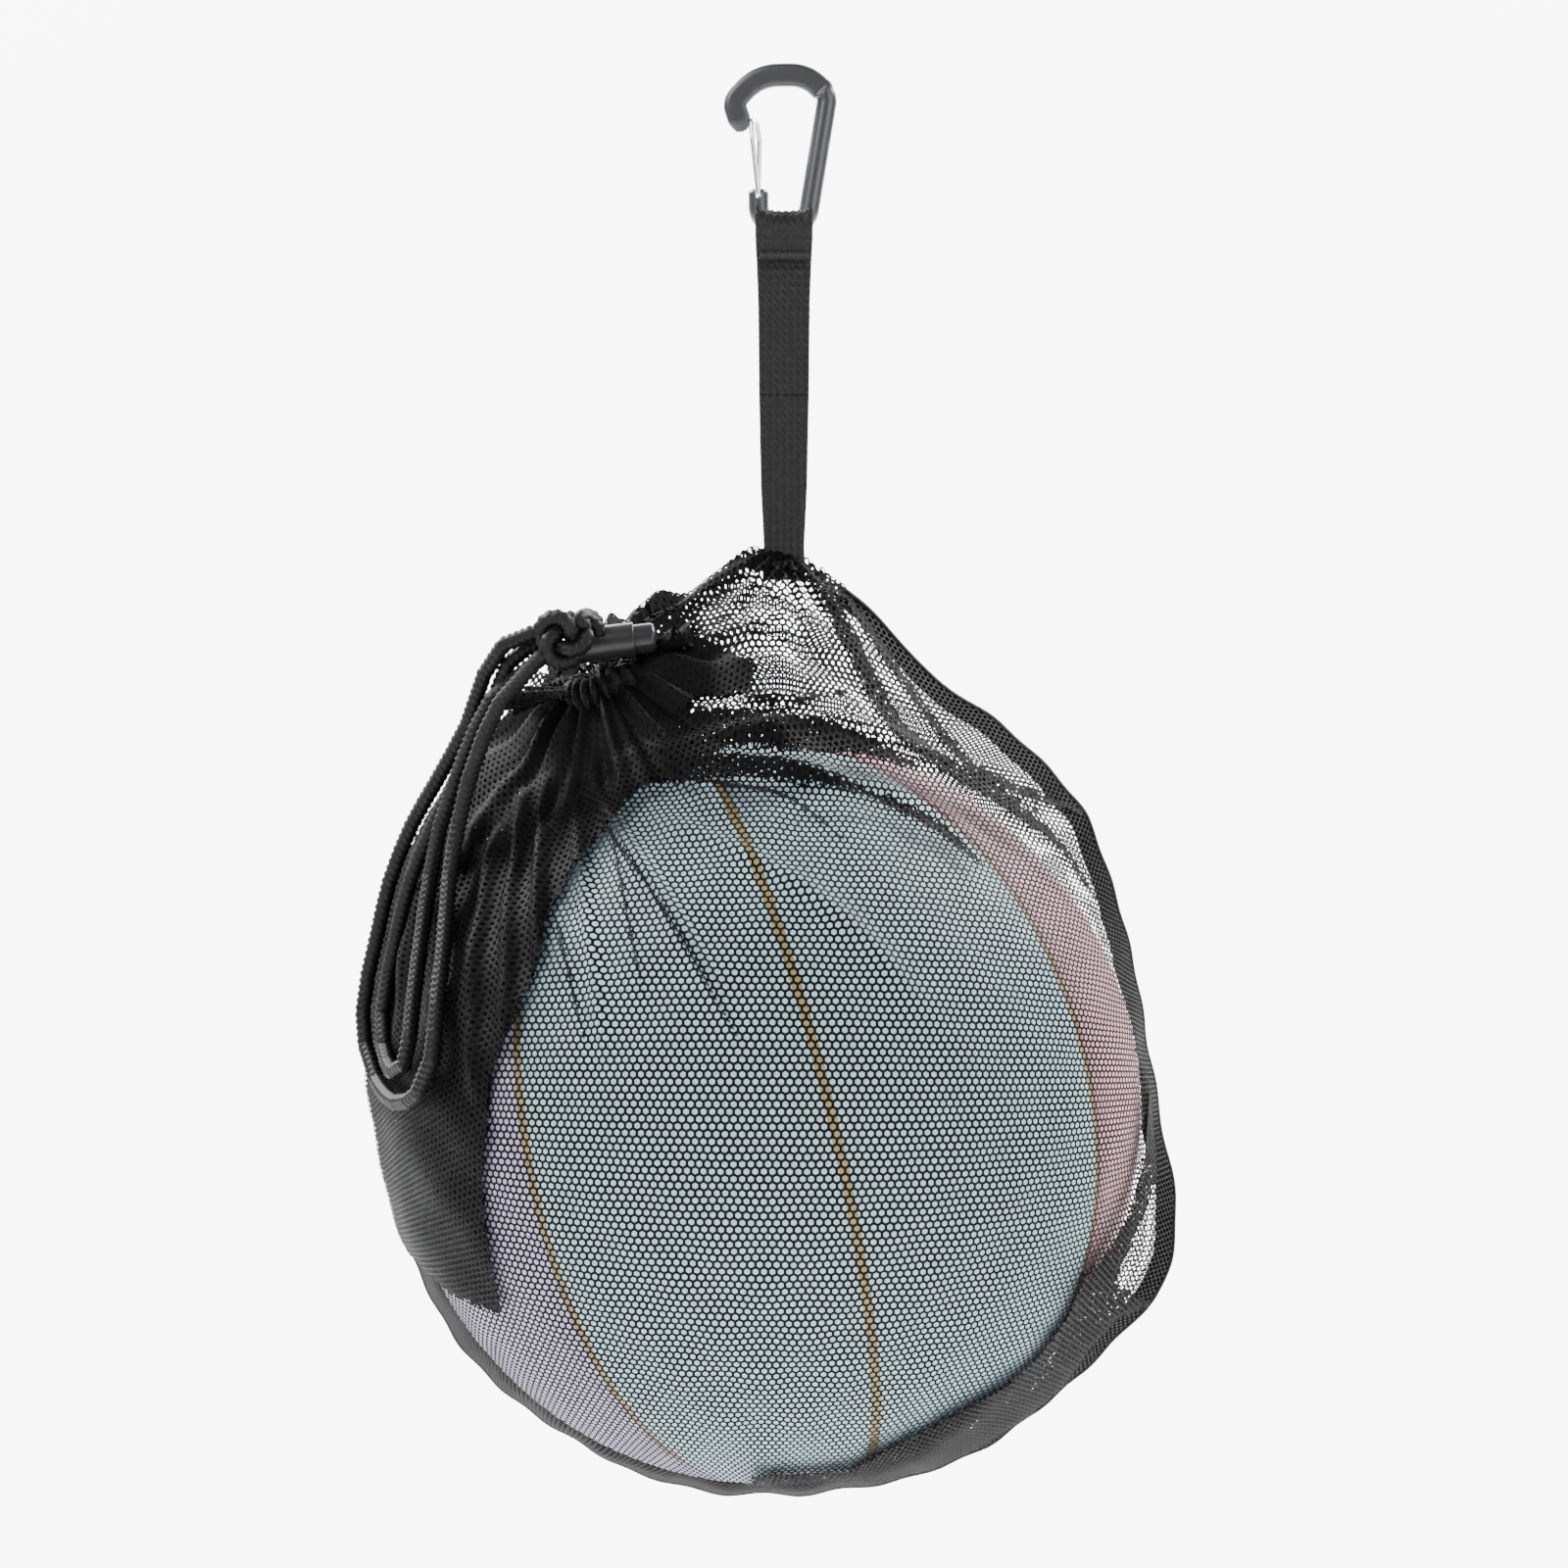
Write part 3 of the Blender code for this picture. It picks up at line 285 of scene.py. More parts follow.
for name, node, side in (("stem_front", "cord_stem_front", 1), ("stem_back", "cord_stem_back", -1)):
    aside = CORD_ASIDE * (side * 0.00178)
    points = [MOUTH - MOUTH_OUT * 0.004 + aside, MOUTH + MOUTH_OUT * 0.0052 + aside,
              SLOT - CORD_OUT * 0.0076 + aside, SLOT + aside, SLOT + CORD_OUT * 0.0070 + aside,
              SLOT + CORD_OUT * 0.0098 + aside * 0.8 + np.array((-0.0026, -0.0008, 0.0)),
              KNOT_CENTRE + np.array((0.0052, side * -0.0014, 0.0065)), KNOT_CENTRE]
    line = smooth_line(points, 0.002)
    gripped = np.array([0.0, 0.009, 0.012, 0.025, 0.029, 0.06])
    stem, route = knitted_cord(
        name, line, CORD_RADIUS, cord_black,
        squeeze=lambda at: np.interp(at, gripped, (0.93, 0.90, 0.72, 0.72, 0.93, 0.95)))
    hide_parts(node)
    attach(stem, "bag")

# The carabiner: one dark anodised rod, flattened where it bends over the top, round down the
# spine and round the basket, with a hooked nose that the wire gate shuts against.
ROD_RADIUS = 0.0033
FLAT_WIDER = 0.00045
FLAT_THINNER = 0.0008
NOSE_TAPER = 0.0042
ROD_SIDES = 40


def bent_path(corners, radii, step_deg=4.0):
    """A line through the given corners, each rounded to its own radius."""
    corners = [Vector(c) for c in corners]
    path = [corners[0]]
    for i, radius in enumerate(radii):
        before, corner, after = corners[i], corners[i + 1], corners[i + 2]
        back = (before - corner).normalized()
        on = (after - corner).normalized()
        half = back.angle(on) / 2
        middle = corner + (back + on).normalized() * (radius / math.sin(half))
        first = corner + back * (radius / math.tan(half)) - middle
        last = corner + on * (radius / math.tan(half)) - middle
        sweep_angle = first.angle(last)
        axis = first.cross(last).normalized()
        count = max(3, math.ceil(math.degrees(sweep_angle) / step_deg))
        path += [middle + Matrix.Rotation(sweep_angle * k / count, 3, axis) @ first
                 for k in range(count + 1)]
    path.append(corners[-1])
    return np.array([tuple(p) for p in path])


centre_line = bent_path(
    [(-0.0134, 0, -0.0142), (-0.0164, 0, -0.0052), (-0.0085, 0, 0.0034), (0.0072, 0, 0.0037),
     (0.0142, 0, -0.0030), (0.0072, 0, -0.0456), (-0.0082, 0, -0.0456), (-0.0083, 0, -0.0335)],
    [0.0046, 0.0150, 0.0130, 0.0050, 0.0068, 0.0068])
centre_line, along = even_line(centre_line, 0.0004)
tangent = np.gradient(centre_line, axis=0)
tangent /= np.linalg.norm(tangent, axis=1)[:, None]
across = np.cross((0.0, 1.0, 0.0), tangent)
turn = np.linspace(0, 2 * np.pi, ROD_SIDES, endpoint=False)
total = along[-1]
spine_start = along[np.argmax((centre_line[:, 0] > 0.009) & (centre_line[:, 2] < -0.0020))]
flat = np.clip((spine_start - along) / 0.0012, 0, 1)
step_out = np.exp(-((along - spine_start + 0.0006) / 0.0007) ** 2)
taper = np.clip(along / NOSE_TAPER, 0, 1)
taper = 0.55 + 0.45 * np.sin(taper * np.pi / 2)
taper *= np.where(total - along < 0.0010, 0.80 + 0.20 * (total - along) / 0.0010, 1.0)
wide = (ROD_RADIUS + FLAT_WIDER * flat + 0.0003 * step_out) * taper
deep = (ROD_RADIUS - FLAT_THINNER * flat) * taper
square = 1 + 0.9 * flat
cosine, sine = np.cos(turn), np.sin(turn)
power = 1 / square[:, None]
u = np.sign(cosine) * np.abs(cosine) ** power * wide[:, None]
v = np.sign(sine) * np.abs(sine) ** power * deep[:, None]
points = centre_line[:, None] + across[:, None] * u[..., None]
points[..., 1] += v
rows = len(centre_line)
faces = grid_faces(rows, ROD_SIDES, closed=True)
caps = []
points = points.reshape(-1, 3)
for ring_start, tip in ((0, centre_line[0] - tangent[0] * 0.0007),
                        ((rows - 1) * ROD_SIDES, centre_line[-1] + tangent[-1] * 0.0005)):
    points = np.vstack([points, tip])
    middle = len(points) - 1
    caps += [(ring_start + k, ring_start + (k + 1) % ROD_SIDES, middle) for k in range(ROD_SIDES)]
anodised, shader, tree = finish_of("anodised_rod", (0.050, 0.052, 0.055), 0.34,
                                    metallic=0.6, specular=0.4)
grain(tree, shader, 900.0, 0.12, 0.0001)
rod = put("carabiner_rod", points, faces, anodised)
bm = bmesh.new()
bm.from_mesh(rod.data)
bm.verts.ensure_lookup_table()
for corners in caps:
    bm.faces.new([bm.verts[k] for k in corners])
bmesh.ops.recalc_face_normals(bm, faces=bm.faces)
bm.to_mesh(rod.data)
bm.free()
rod.data.polygons.foreach_set("use_smooth", [True] * len(rod.data.polygons))
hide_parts("carabiner_frame")
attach(rod, "carabiner")

# The gate: one bright steel wire, bent double. Its two ends sit in the pivot hole, a little
# apart, so that it springs shut with its bend behind the nose.
WIRE_RADIUS = 0.0008
pivot = np.array((-0.0083, 0.0, -0.0362))
notch = np.array((-0.0100, 0.0, -0.0111))
half = [pivot + (0, -0.0008, 0), pivot + (0, -0.0044, 0), notch + (0.0009, -0.0033, -0.0060),
        notch + (0.0002, -0.0024, 0)]
wire = bent_path(half + [p * (1, -1, 1) for p in reversed(half)],
                 [0.0014, 0.0050, 0.0016, 0.0016, 0.0050, 0.0014], 8.0)
wire[:, 0] += 0.34 * wire[:, 1] * np.clip((wire[:, 2] + 0.0352) / 0.0120, 0, 1)
steel, shader, tree = finish_of("bright_wire", (0.80, 0.81, 0.82), 0.20, metallic=1.0)
grain(tree, shader, 3000.0, 0.08, 0.00005)
route, _ = even_line(wire, 0.0003)
side, other = frames_along(route)
turn = np.linspace(0, 2 * np.pi, 16, endpoint=False)
points = (route[:, None] + side[:, None] * (np.cos(turn) * WIRE_RADIUS)[:, None]
          + other[:, None] * (np.sin(turn) * WIRE_RADIUS)[:, None])
gate = put("gate_wire", points, grid_faces(len(route), 16, closed=True), steel)
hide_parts("wire_gate")
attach(gate, "gate")

# The strap: 16.5 mm polypropylene webbing in a coarse weave. It's folded round the basket and
# sewn to itself, and its lower end is gathered into the bag's seam.
WEB_THICKNESS = 0.0013
WARP_PITCH = 0.0023
WEFT_PITCH = 0.0026
WEAVE_HEIGHT = 0.00060
webbing, shader, tree = finish_of("woven_webbing", (0.006, 0.006, 0.0065), 0.55,
                                  specular=0.2)
grain(tree, shader, 2400.0, 0.4, 0.0002)


def woven(name, profile, widths, columns=56, step=0.00042, cup=0.0):
    """A thick woven ribbon: profile is its (y, z) line, and widths its width at heights z."""
    line = smooth_line([(0.0, y, z) for y, z in profile], 0.001)
    route, at = even_line(line, step)
    tangent = np.gradient(route, axis=0)
    tangent /= np.linalg.norm(tangent, axis=1)[:, None]
    out = np.cross(tangent, (1.0, 0.0, 0.0))
    share = np.linspace(-1, 1, columns)
    half = np.interp(-route[:, 2], [-z for z, _ in widths], [w / 2 for _, w in widths])
    x = half[:, None] * share
    over = at[:, None] + 0 * x
    cell = x / WARP_PITCH
    tilt = np.abs(((cell + 0.25) % 1.0) - 0.5) * 2
    weave = (0.5 + 0.5 * np.cos(2 * np.pi * (over / WEFT_PITCH + tilt * 0.5))) * (
        0.55 + 0.45 * np.abs(np.sin(np.pi * (cell + 0.25))))
    relief = WEB_THICKNESS / 2 + WEAVE_HEIGHT * (weave - 0.45)
    edge = np.clip((1 - np.abs(share)) / 0.06, 0, 1)
    relief = relief * (0.35 + 0.65 * np.sqrt(edge))
    lift = cup * np.abs(share) ** 2.6 * np.exp(-((route[:, 2] + 0.0440) / 0.0042) ** 2)[:, None]
    middle = route[:, None] + np.stack([x, 0 * x, 0 * x], -1)
    middle[..., 2] += lift
    front = middle + out[:, None] * relief[..., None]
    rear = middle - out[:, None] * relief[..., None]
    rows = len(route)
    points = np.concatenate([front, rear[:, ::-1]], 1)
    faces = [grid_faces(rows, 2 * columns, closed=True)]
    for r in (0, rows - 1):
        base = r * 2 * columns
        k = np.arange(columns - 1)
        faces.append(np.stack([base + k, base + k + 1, base + 2 * columns - 2 - k,
                               base + 2 * columns - 1 - k], -1))
    return put(name, points, np.vstack(faces), webbing)


arc = [(-math.sin(math.radians(a)) * 0.0044, -0.0456 + math.cos(math.radians(a)) * 0.0044)
       for a in range(120, -121, -20)]
upper = woven("strap_upper", [(-0.0022, -0.0572), (-0.0021, -0.0535)] + arc
              + [(0.0010, -0.0520), (0.0, -0.0570), (0.0, -0.0700), (0.0, -0.0850), (0.0, -0.1000)],
              [(-0.0300, 0.0188), (-0.0500, 0.0186), (-0.0570, 0.0178), (-0.0700, 0.0168),
               (-0.1000, 0.0162)], cup=0.0036)
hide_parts("strap_loop", "strap_tail")
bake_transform(upper)
lower = woven("strap_lower", [(0.0, -0.1000), (0.0, -0.1100), (0.0, -0.1300), (0.0, -0.1500),
                              (0.0, -0.1600)],
              [(-0.1000, 0.0162), (-0.1300, 0.0150), (-0.1490, 0.0131), (-0.1600, 0.0140)])
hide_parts("strap_web", "strap_anchor")
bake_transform(lower)

# The bar tack that holds the strap's fold: black thread in a tight zigzag right across, sewn
# through both layers of the webbing.
THREAD_RADIUS = 0.00022
TACK_HALF_WIDTH = 0.0079
thread, shader, tree = finish_of("thread", (0.014, 0.014, 0.015), 0.45, sheen=0.02, specular=0.3)
grain(tree, shader, 4000.0, 0.2, 0.0001)
zigzag = np.array([(TACK_HALF_WIDTH * (k / 17 - 1), -0.00305, -0.0551 + 0.0012 * (k % 2 - 0.5) * 2)
                   for k in range(35)])
route, _ = even_line(zigzag, 0.00025)
side, other = frames_along(route)
turn = np.linspace(0, 2 * np.pi, 8, endpoint=False)
points = (route[:, None] + side[:, None] * (np.cos(turn) * THREAD_RADIUS)[:, None]
          + other[:, None] * (np.sin(turn) * THREAD_RADIUS)[:, None])
tack = put("bar_tack", points, grid_faces(len(route), 8, closed=True), thread)
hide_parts("strap_bar_tack")
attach(tack, "strap")

# The two net panels, front and back: knitted black polyester with six-sided holes at 2.6 mm.
# They rest on the ball, and run straight from it to what holds them out: the strap's seam, the
# drawn mouth and the slack corners. Each is shown as a left and a right half.
RESTING = 0.1219            # from the ball's centre to net that lies on it
UNCUT = 0.56                # the net is laid out this wide and long, then cut to what is kept
NET_PITCH = 0.0026
OUTLINE = (
    # clock angle from the strap in degrees, distance from the ball's centre
    (0.0, 0.1788), (3.5, 0.1783), (5.8, 0.1739), (8.7, 0.1686), (13.1, 0.1613), (20.8, 0.1485),
    (28.0, 0.1456), (37.8, 0.1425), (46.4, 0.1403), (55.7, 0.1325), (67.0, 0.1259),
    (77.4, 0.1236), (87.8, 0.1239), (97.7, 0.1298), (104.3, 0.1350), (110.8, 0.1386),
    (115.7, 0.1392), (120.5, 0.1345), (130.1, 0.1307), (139.0, 0.1288), (148.0, 0.1290),
    (160.0, 0.1256), (170.4, 0.1239), (180.7, 0.1232), (192.5, 0.1242), (208.6, 0.1229),
    (233.3, 0.1248), (246.4, 0.1240), (260.0, 0.1250), (270.0, 0.1275), (280.0, 0.1310),
    (290.8, 0.1356), (301.0, 0.1405), (310.8, 0.1434), (318.0, 0.1470), (326.0, 0.1490),
    (334.0, 0.1510), (341.0, 0.1560), (345.8, 0.1620), (350.7, 0.1673), (355.3, 0.1752),
    (358.5, 0.1783), (360.0, 0.1788),
)
clocks = np.radians(np.arange(0, 361))
outline = np.interp(np.degrees(clocks), *zip(*OUTLINE))
ring = np.concatenate([outline[-4:-1], outline, outline[1:4]])
outline = np.convolve(ring, np.array((1, 2, 3, 4, 3, 2, 1)) / 16, "valid")


def towards(clock, tip, side):
    """Unit directions from the ball's centre: clock angle, then angle from the front pole."""
    return np.stack([np.sin(clock) * np.sin(tip), side * np.cos(tip),
                     np.cos(clock) * np.sin(tip)], -1)


def mouth_polar(direction):
    """Distance over the bag from the mouth's centre, and the angle round it."""
    away = np.arccos(np.clip(direction @ MOUTH_OUT, -1, 1)) * 0.135
    return away, np.arctan2(direction @ MOUTH_BACK, direction @ MOUTH_RIGHT)


def as_seen(point):
    """Where a point shows from the front, at the depth of the strap."""
    scale = EYE_AWAY / (EYE_AWAY + point[..., 1])
    return point[..., 0] * scale, (point[..., 2] - EYE_HEIGHT) * scale + EYE_HEIGHT


FOLDS = (
    # route seen from the front (x, z), height, half width
    (((-0.0635, -0.2150), (-0.0570, -0.2350), (-0.0380, -0.2640), (-0.0220, -0.2930),
      (-0.0130, -0.3150)), 0.0030, 0.0026),
    (((-0.0670, -0.2300), (-0.0640, -0.2620), (-0.0570, -0.3200)), 0.0024, 0.0024),
    (((-0.0560, -0.2220), (-0.0300, -0.2150), (0.0150, -0.2070), (0.0410, -0.2160),
      (0.0640, -0.2230)), 0.0032, 0.0030),
    (((-0.0480, -0.2240), (-0.0190, -0.2190), (0.0160, -0.2250), (0.0480, -0.2350),
      (0.0670, -0.2500)), 0.0028, 0.0028),
    (((-0.0420, -0.2100), (-0.0100, -0.2010), (0.0250, -0.2030)), 0.0026, 0.0028),
    (((-0.0500, -0.2350), (-0.0100, -0.2500), (0.0250, -0.2750), (0.0450, -0.3000)),
     0.0020, 0.0030),
    (((-0.0900, -0.2350), (-0.0980, -0.2850), (-0.0990, -0.3300)), 0.0036, 0.0020),
    (((-0.0960, -0.2350), (-0.1090, -0.2850), (-0.1120, -0.3250)), 0.0036, 0.0020),
    (((-0.0820, -0.2280), (-0.0870, -0.2700), (-0.0890, -0.3150)), 0.0036, 0.0021),
    (((-0.0760, -0.2240), (-0.0775, -0.2550), (-0.0790, -0.2850)), 0.0034, 0.0020),
    (((-0.1020, -0.2300), (-0.1190, -0.2800), (-0.1230, -0.3150)), 0.0034, 0.0020),
)


def near_route(x, z, route):
    """Distance from a line seen from the front, and the share of the way along it."""
    line = smooth_line([(a, 0.0, b) for a, b in route], 0.004)[:, (0, 2)]
    best = np.full(x.shape, 1.0)
    share = np.zeros(x.shape)
    for i, (a, b) in enumerate(zip(line, line[1:])):
        d = b - a
        t = np.clip(((x - a[0]) * d[0] + (z - a[1]) * d[1]) / (d @ d), 0, 1)
        gap = np.hypot(x - a[0] - t * d[0], z - a[1] - t * d[1])
        nearer = gap < best
        best = np.where(nearer, gap, best)
        share = np.where(nearer, (i + t) / (len(line) - 1), share)
    return best, share


def hull(clock, tip):
    """Distance from the ball's centre to the bag, for the front or the back half."""
    held = np.interp(np.degrees(clock) % 360, np.arange(0, 361), outline)
    slope = np.arcsin(RESTING / np.maximum(held, RESTING * 1.0001))
    away = np.pi / 2 - tip
    free = away < np.pi / 2 - slope
    return np.where(free, RESTING / np.sin(np.where(free, away + slope, 1.0)), RESTING)


def bag_radius(clock, tip, side, direction):
    """The hull with its folds: pleats drawn in to the mouth and to the strap's seam."""
    radius = hull(clock, tip)
    away, angle = mouth_polar(direction)
    pleat = np.cos(15 * angle + 1.3 * np.sin(2 * angle)) + 0.5 * np.cos(26 * angle + 1.0)
    long_fold = np.exp(-away / 0.045) * np.clip(away / 0.012, 0, 1)
    radius = radius + 0.0029 * long_fold * (pleat + 1.2)
    neck = np.clip((0.036 - away) / 0.026, 0, 1)
    radius = radius + 0.0078 * neck * neck * (3 - 2 * neck)
    seam = BALL + np.array((0.0048, 0.0, 0.1794))
    point = direction * radius[..., None]
    drop = np.linalg.norm(point - (seam - BALL), axis=-1)
    fan = np.arctan2(point[..., 0] - 0.0048, 0.1810 - point[..., 2])
    radius = radius + 0.0014 * np.exp(-drop / 0.030) * np.cos(17 * fan) * np.clip(
        drop / 0.010, 0, 1)
    if side < 0:
        x, z = as_seen(point + BALL)
        for route, height, half in FOLDS:
            gap, share = near_route(x, z, route)
            rise = np.sin(np.pi * np.clip(share, 0.0, 1.0)) ** 0.6
            radius = radius + height * rise * np.exp(-(gap / half) ** 2)
    slack = 0.0007 * np.sin(direction[..., 0] * 31 + 2.0) * np.sin(direction[..., 2] * 27)
    return radius + slack + 0.0007


DIVISIONS = 180
TIPS = np.radians(np.linspace(0, 90, DIVISIONS + 1))
clock_grid, tip_grid = np.meshgrid(clocks, TIPS, indexing="ij")
reach = hull(clock_grid, tip_grid)
steps = np.hypot(np.diff(reach, axis=1), (reach[:, 1:] + reach[:, :-1]) / 2 * np.diff(TIPS))
LENGTHS = np.concatenate([np.zeros((361, 1)), np.cumsum(steps, axis=1)], 1)
SHARES = np.linspace(0, 1, DIVISIONS + 1)
TIP_AT = np.array([np.interp(SHARES, row / row[-1], TIPS) for row in LENGTHS])


def flat_to_angles(a, b):
    """Flat places to clock angles, angles from the pole, and shares of the way to the seam."""
    rho = np.hypot(a, b)
    clock = np.arctan2(a, b) % (2 * np.pi)
    place = np.degrees(clock)
    low = np.minimum(place.astype(int), 359)
    t = place - low
    full = LENGTHS[low, -1] * (1 - t) + LENGTHS[low + 1, -1] * t
    share = np.clip(rho / full, 0, 1) * DIVISIONS
    k = np.minimum(share.astype(int), DIVISIONS - 1)
    f = share - k
    tips = ((TIP_AT[low, k] * (1 - f) + TIP_AT[low, k + 1] * f) * (1 - t)
            + (TIP_AT[low + 1, k] * (1 - f) + TIP_AT[low + 1, k + 1] * f) * t)
    return clock, tips, rho / full


def bag_place(side, lift=0.0, turn=0.0, shift=(0.0, 0.0)):
    """Places flat points on the front (side -1) or the back (side 1) of the bag."""
    def place(a, b):
        a, b = a * math.cos(turn) - b * math.sin(turn), a * math.sin(turn) + b * math.cos(turn)
        clock, tip, share = flat_to_angles(a + shift[0], b + shift[1])
        direction = towards(clock, tip, side)
        radius = bag_radius(clock, tip, side, direction) + lift
        return BALL + direction * radius[..., None], direction, share
    return place


def net(name, place, keep, width, height, finish, pitch=NET_PITCH, open_share=0.67,
        ridge=0.00020, closes=None):
    """Hexagonal knitted net, with its threads raised between the holes, and its thread area."""
    rise = pitch * math.sqrt(3) / 2
    columns = int(width / pitch) + 2
    rows = int(height / rise) + 2
    i, j = np.meshgrid(np.arange(-columns // 2, columns // 2 + 1),
                       np.arange(-rows // 2, rows // 2 + 1), indexing="ij")
    centre = np.stack([(i + 0.5 * (j % 2)) * pitch, j * rise], -1).reshape(-1, 2)
    spot, direction, share = place(centre[:, 0], centre[:, 1])
    inside = keep(spot, direction, share)
    centre, spot, direction = centre[inside], spot[inside], direction[inside]
    corner = np.radians(30 + 60 * np.arange(6))
    ring = np.stack([np.cos(corner), np.sin(corner)], -1) * pitch / math.sqrt(3)
    outer = centre[:, None] + ring
    keys = np.round(outer.reshape(-1, 2) / pitch * 1000).astype(np.int64)
    _, first, index = np.unique(keys, axis=0, return_index=True, return_inverse=True)
    shared = outer.reshape(-1, 2)[first]
    open_here = np.full(len(centre), open_share)
    if closes is not None:
        open_here = open_here * closes(direction)
    inner = centre[:, None] + ring * open_here[:, None, None]
    outer_points, outward, _ = place(shared[:, 0], shared[:, 1])
    outer_points = outer_points + outward * ridge
    flat = inner.reshape(-1, 2)
    inner_points, _, _ = place(flat[:, 0], flat[:, 1])
    count = len(centre)
    outer_index = index.reshape(count, 6)
    inner_index = len(shared) + np.arange(count * 6).reshape(count, 6)
    following = (np.arange(6) + 1) % 6
    faces = np.stack([outer_index, outer_index[:, following], inner_index[:, following],
                      inner_index], -1).reshape(-1, 4)
    made = put(name, np.vstack([outer_points, inner_points]), faces, finish)
    return made, count * pitch * rise * (1 - float(np.mean(open_here**2)))


def mouth_closes(direction):
    """Gathered net has its holes drawn shut towards the mouth."""
    away, _ = mouth_polar(direction)
    return 0.25 + 0.75 * np.clip((away - 0.012) / 0.035, 0, 1)


net_black, shader, tree = finish_of("knitted_net", (0.0022, 0.0022, 0.0025), 0.62, specular=0.06)
grain(tree, shader, 1800.0, 0.3, 0.0001)
for name, node, side, hand in (
    ("net_front_left", "front_panel", -1.0, -1.0), ("net_front_right", "front_panel", -1.0, 1.0),
    ("net_back_left", "back_panel", 1.0, -1.0), ("net_back_right", "back_panel", 1.0, 1.0),
):
    def keep(spot, direction, share):
        away, _ = mouth_polar(direction)
        half = direction[..., 0] < 0 if hand < 0 else direction[..., 0] >= 0
        return (share < 0.999) & (away > 0.0088) & half
    cloth, area = net(name, bag_place(side), keep, UNCUT, UNCUT, net_black,
                      closes=mouth_closes)
    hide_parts(node)
    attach(cloth, "bag")

# Spare net folded flat down the left of the ball and gathered up to the mouth. It is the same
# cloth as the panels, three layers deep, so hardly any light comes through it.
TUCK = [(-0.0500, -0.2230), (-0.0508, -0.2308), (-0.0635, -0.2419), (-0.0762, -0.2673),
        (-0.0810, -0.2863), (-0.0889, -0.3038), (-0.0952, -0.3213), (-0.0978, -0.3530),
        (-0.0962, -0.3752), (-0.0914, -0.3975), (-0.1079, -0.3911), (-0.1400, -0.3600),
        (-0.1600, -0.3000), (-0.1500, -0.2200), (-0.1000, -0.1900), (-0.0600, -0.2000)]


def in_outline(x, z, corners):
    """Whether places seen from the front are inside a closed outline."""
    inside = np.zeros(x.shape, bool)
    for (a, b), (c, d) in zip(corners, corners[1:] + corners[:1]):
        crosses = (b > z) != (d > z)
        at = (c - a) * (z - b) / (d - b if d != b else 1e-9) + a
        inside ^= crosses & (x < at)
    return inside


def layered(name, outlines, lifts, open_share, pitch=NET_PITCH, rim=1.0):
    """Layers of net inside some outlines, each turned a little from the last.

    Past rim, as a share of the way to the seam, the strip of net by the mouth is kept too.
    """
    def keep(spot, direction, share):
        x, z = as_seen(spot)
        held = np.zeros(x.shape, bool)
        for corners in outlines:
            held |= in_outline(x, z, corners)
        held |= (share > rim) & (z > -0.2050) & (x < 0.0200)
        away, _ = mouth_polar(direction)
        return held & (share < 0.999) & (away > 0.011)
    parts = []
    thread_area = 0.0
    for k, (lift, hole) in enumerate(zip(lifts, open_share)):
        place = bag_place(-1.0, lift, 0.31 + 0.55 * k, (0.0011 * k, 0.0))
        part, area = net("layer", place, keep, UNCUT, UNCUT, net_black, pitch=pitch,
                         open_share=hole, closes=mouth_closes)
        thread_area += area
        parts.append(part)
    return merged(name, parts, net_black), thread_area


GATHER = [(-0.0635, -0.1911), (-0.0476, -0.1841), (-0.0317, -0.1784), (-0.0089, -0.1873),
          (-0.0102, -0.1949), (-0.0302, -0.1990), (-0.0349, -0.2070), (-0.0298, -0.2159),
          (-0.0349, -0.2235), (-0.0476, -0.2279), (-0.0578, -0.2394), (-0.0683, -0.2514),
          (-0.0762, -0.2387), (-0.0714, -0.2070)]
tuck, area = layered("net_tuck", [TUCK, GATHER], (-0.0004, 0.0004, 0.0010),
                     (0.10, 0.36, 0.52))
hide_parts("folded_tuck")
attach(tuck, "bag")

# Where the bag's slack is folded over itself it makes dark bands: down the right shoulder from
# the strap, across the top of the ball, and round the lower right inside the loose corner.
# They are the same net, three layers deep.
def band(route, half):
    """A closed outline of that half width round a route seen from the front."""
    line = smooth_line([(x, 0.0, z) for x, z in route], 0.004)[:, (0, 2)]
    along = np.gradient(line, axis=0)
    along /= np.linalg.norm(along, axis=1)[:, None]
    square = np.stack([along[:, 1], -along[:, 0]], 1)
    width = half * np.interp(np.linspace(0, 1, len(line)), (0, 0.12, 0.6, 1), (0.5, 1, 1, 0.06))
    return [tuple(p) for p in np.vstack([line + square * width[:, None],
                                         (line - square * width[:, None])[::-1]])]


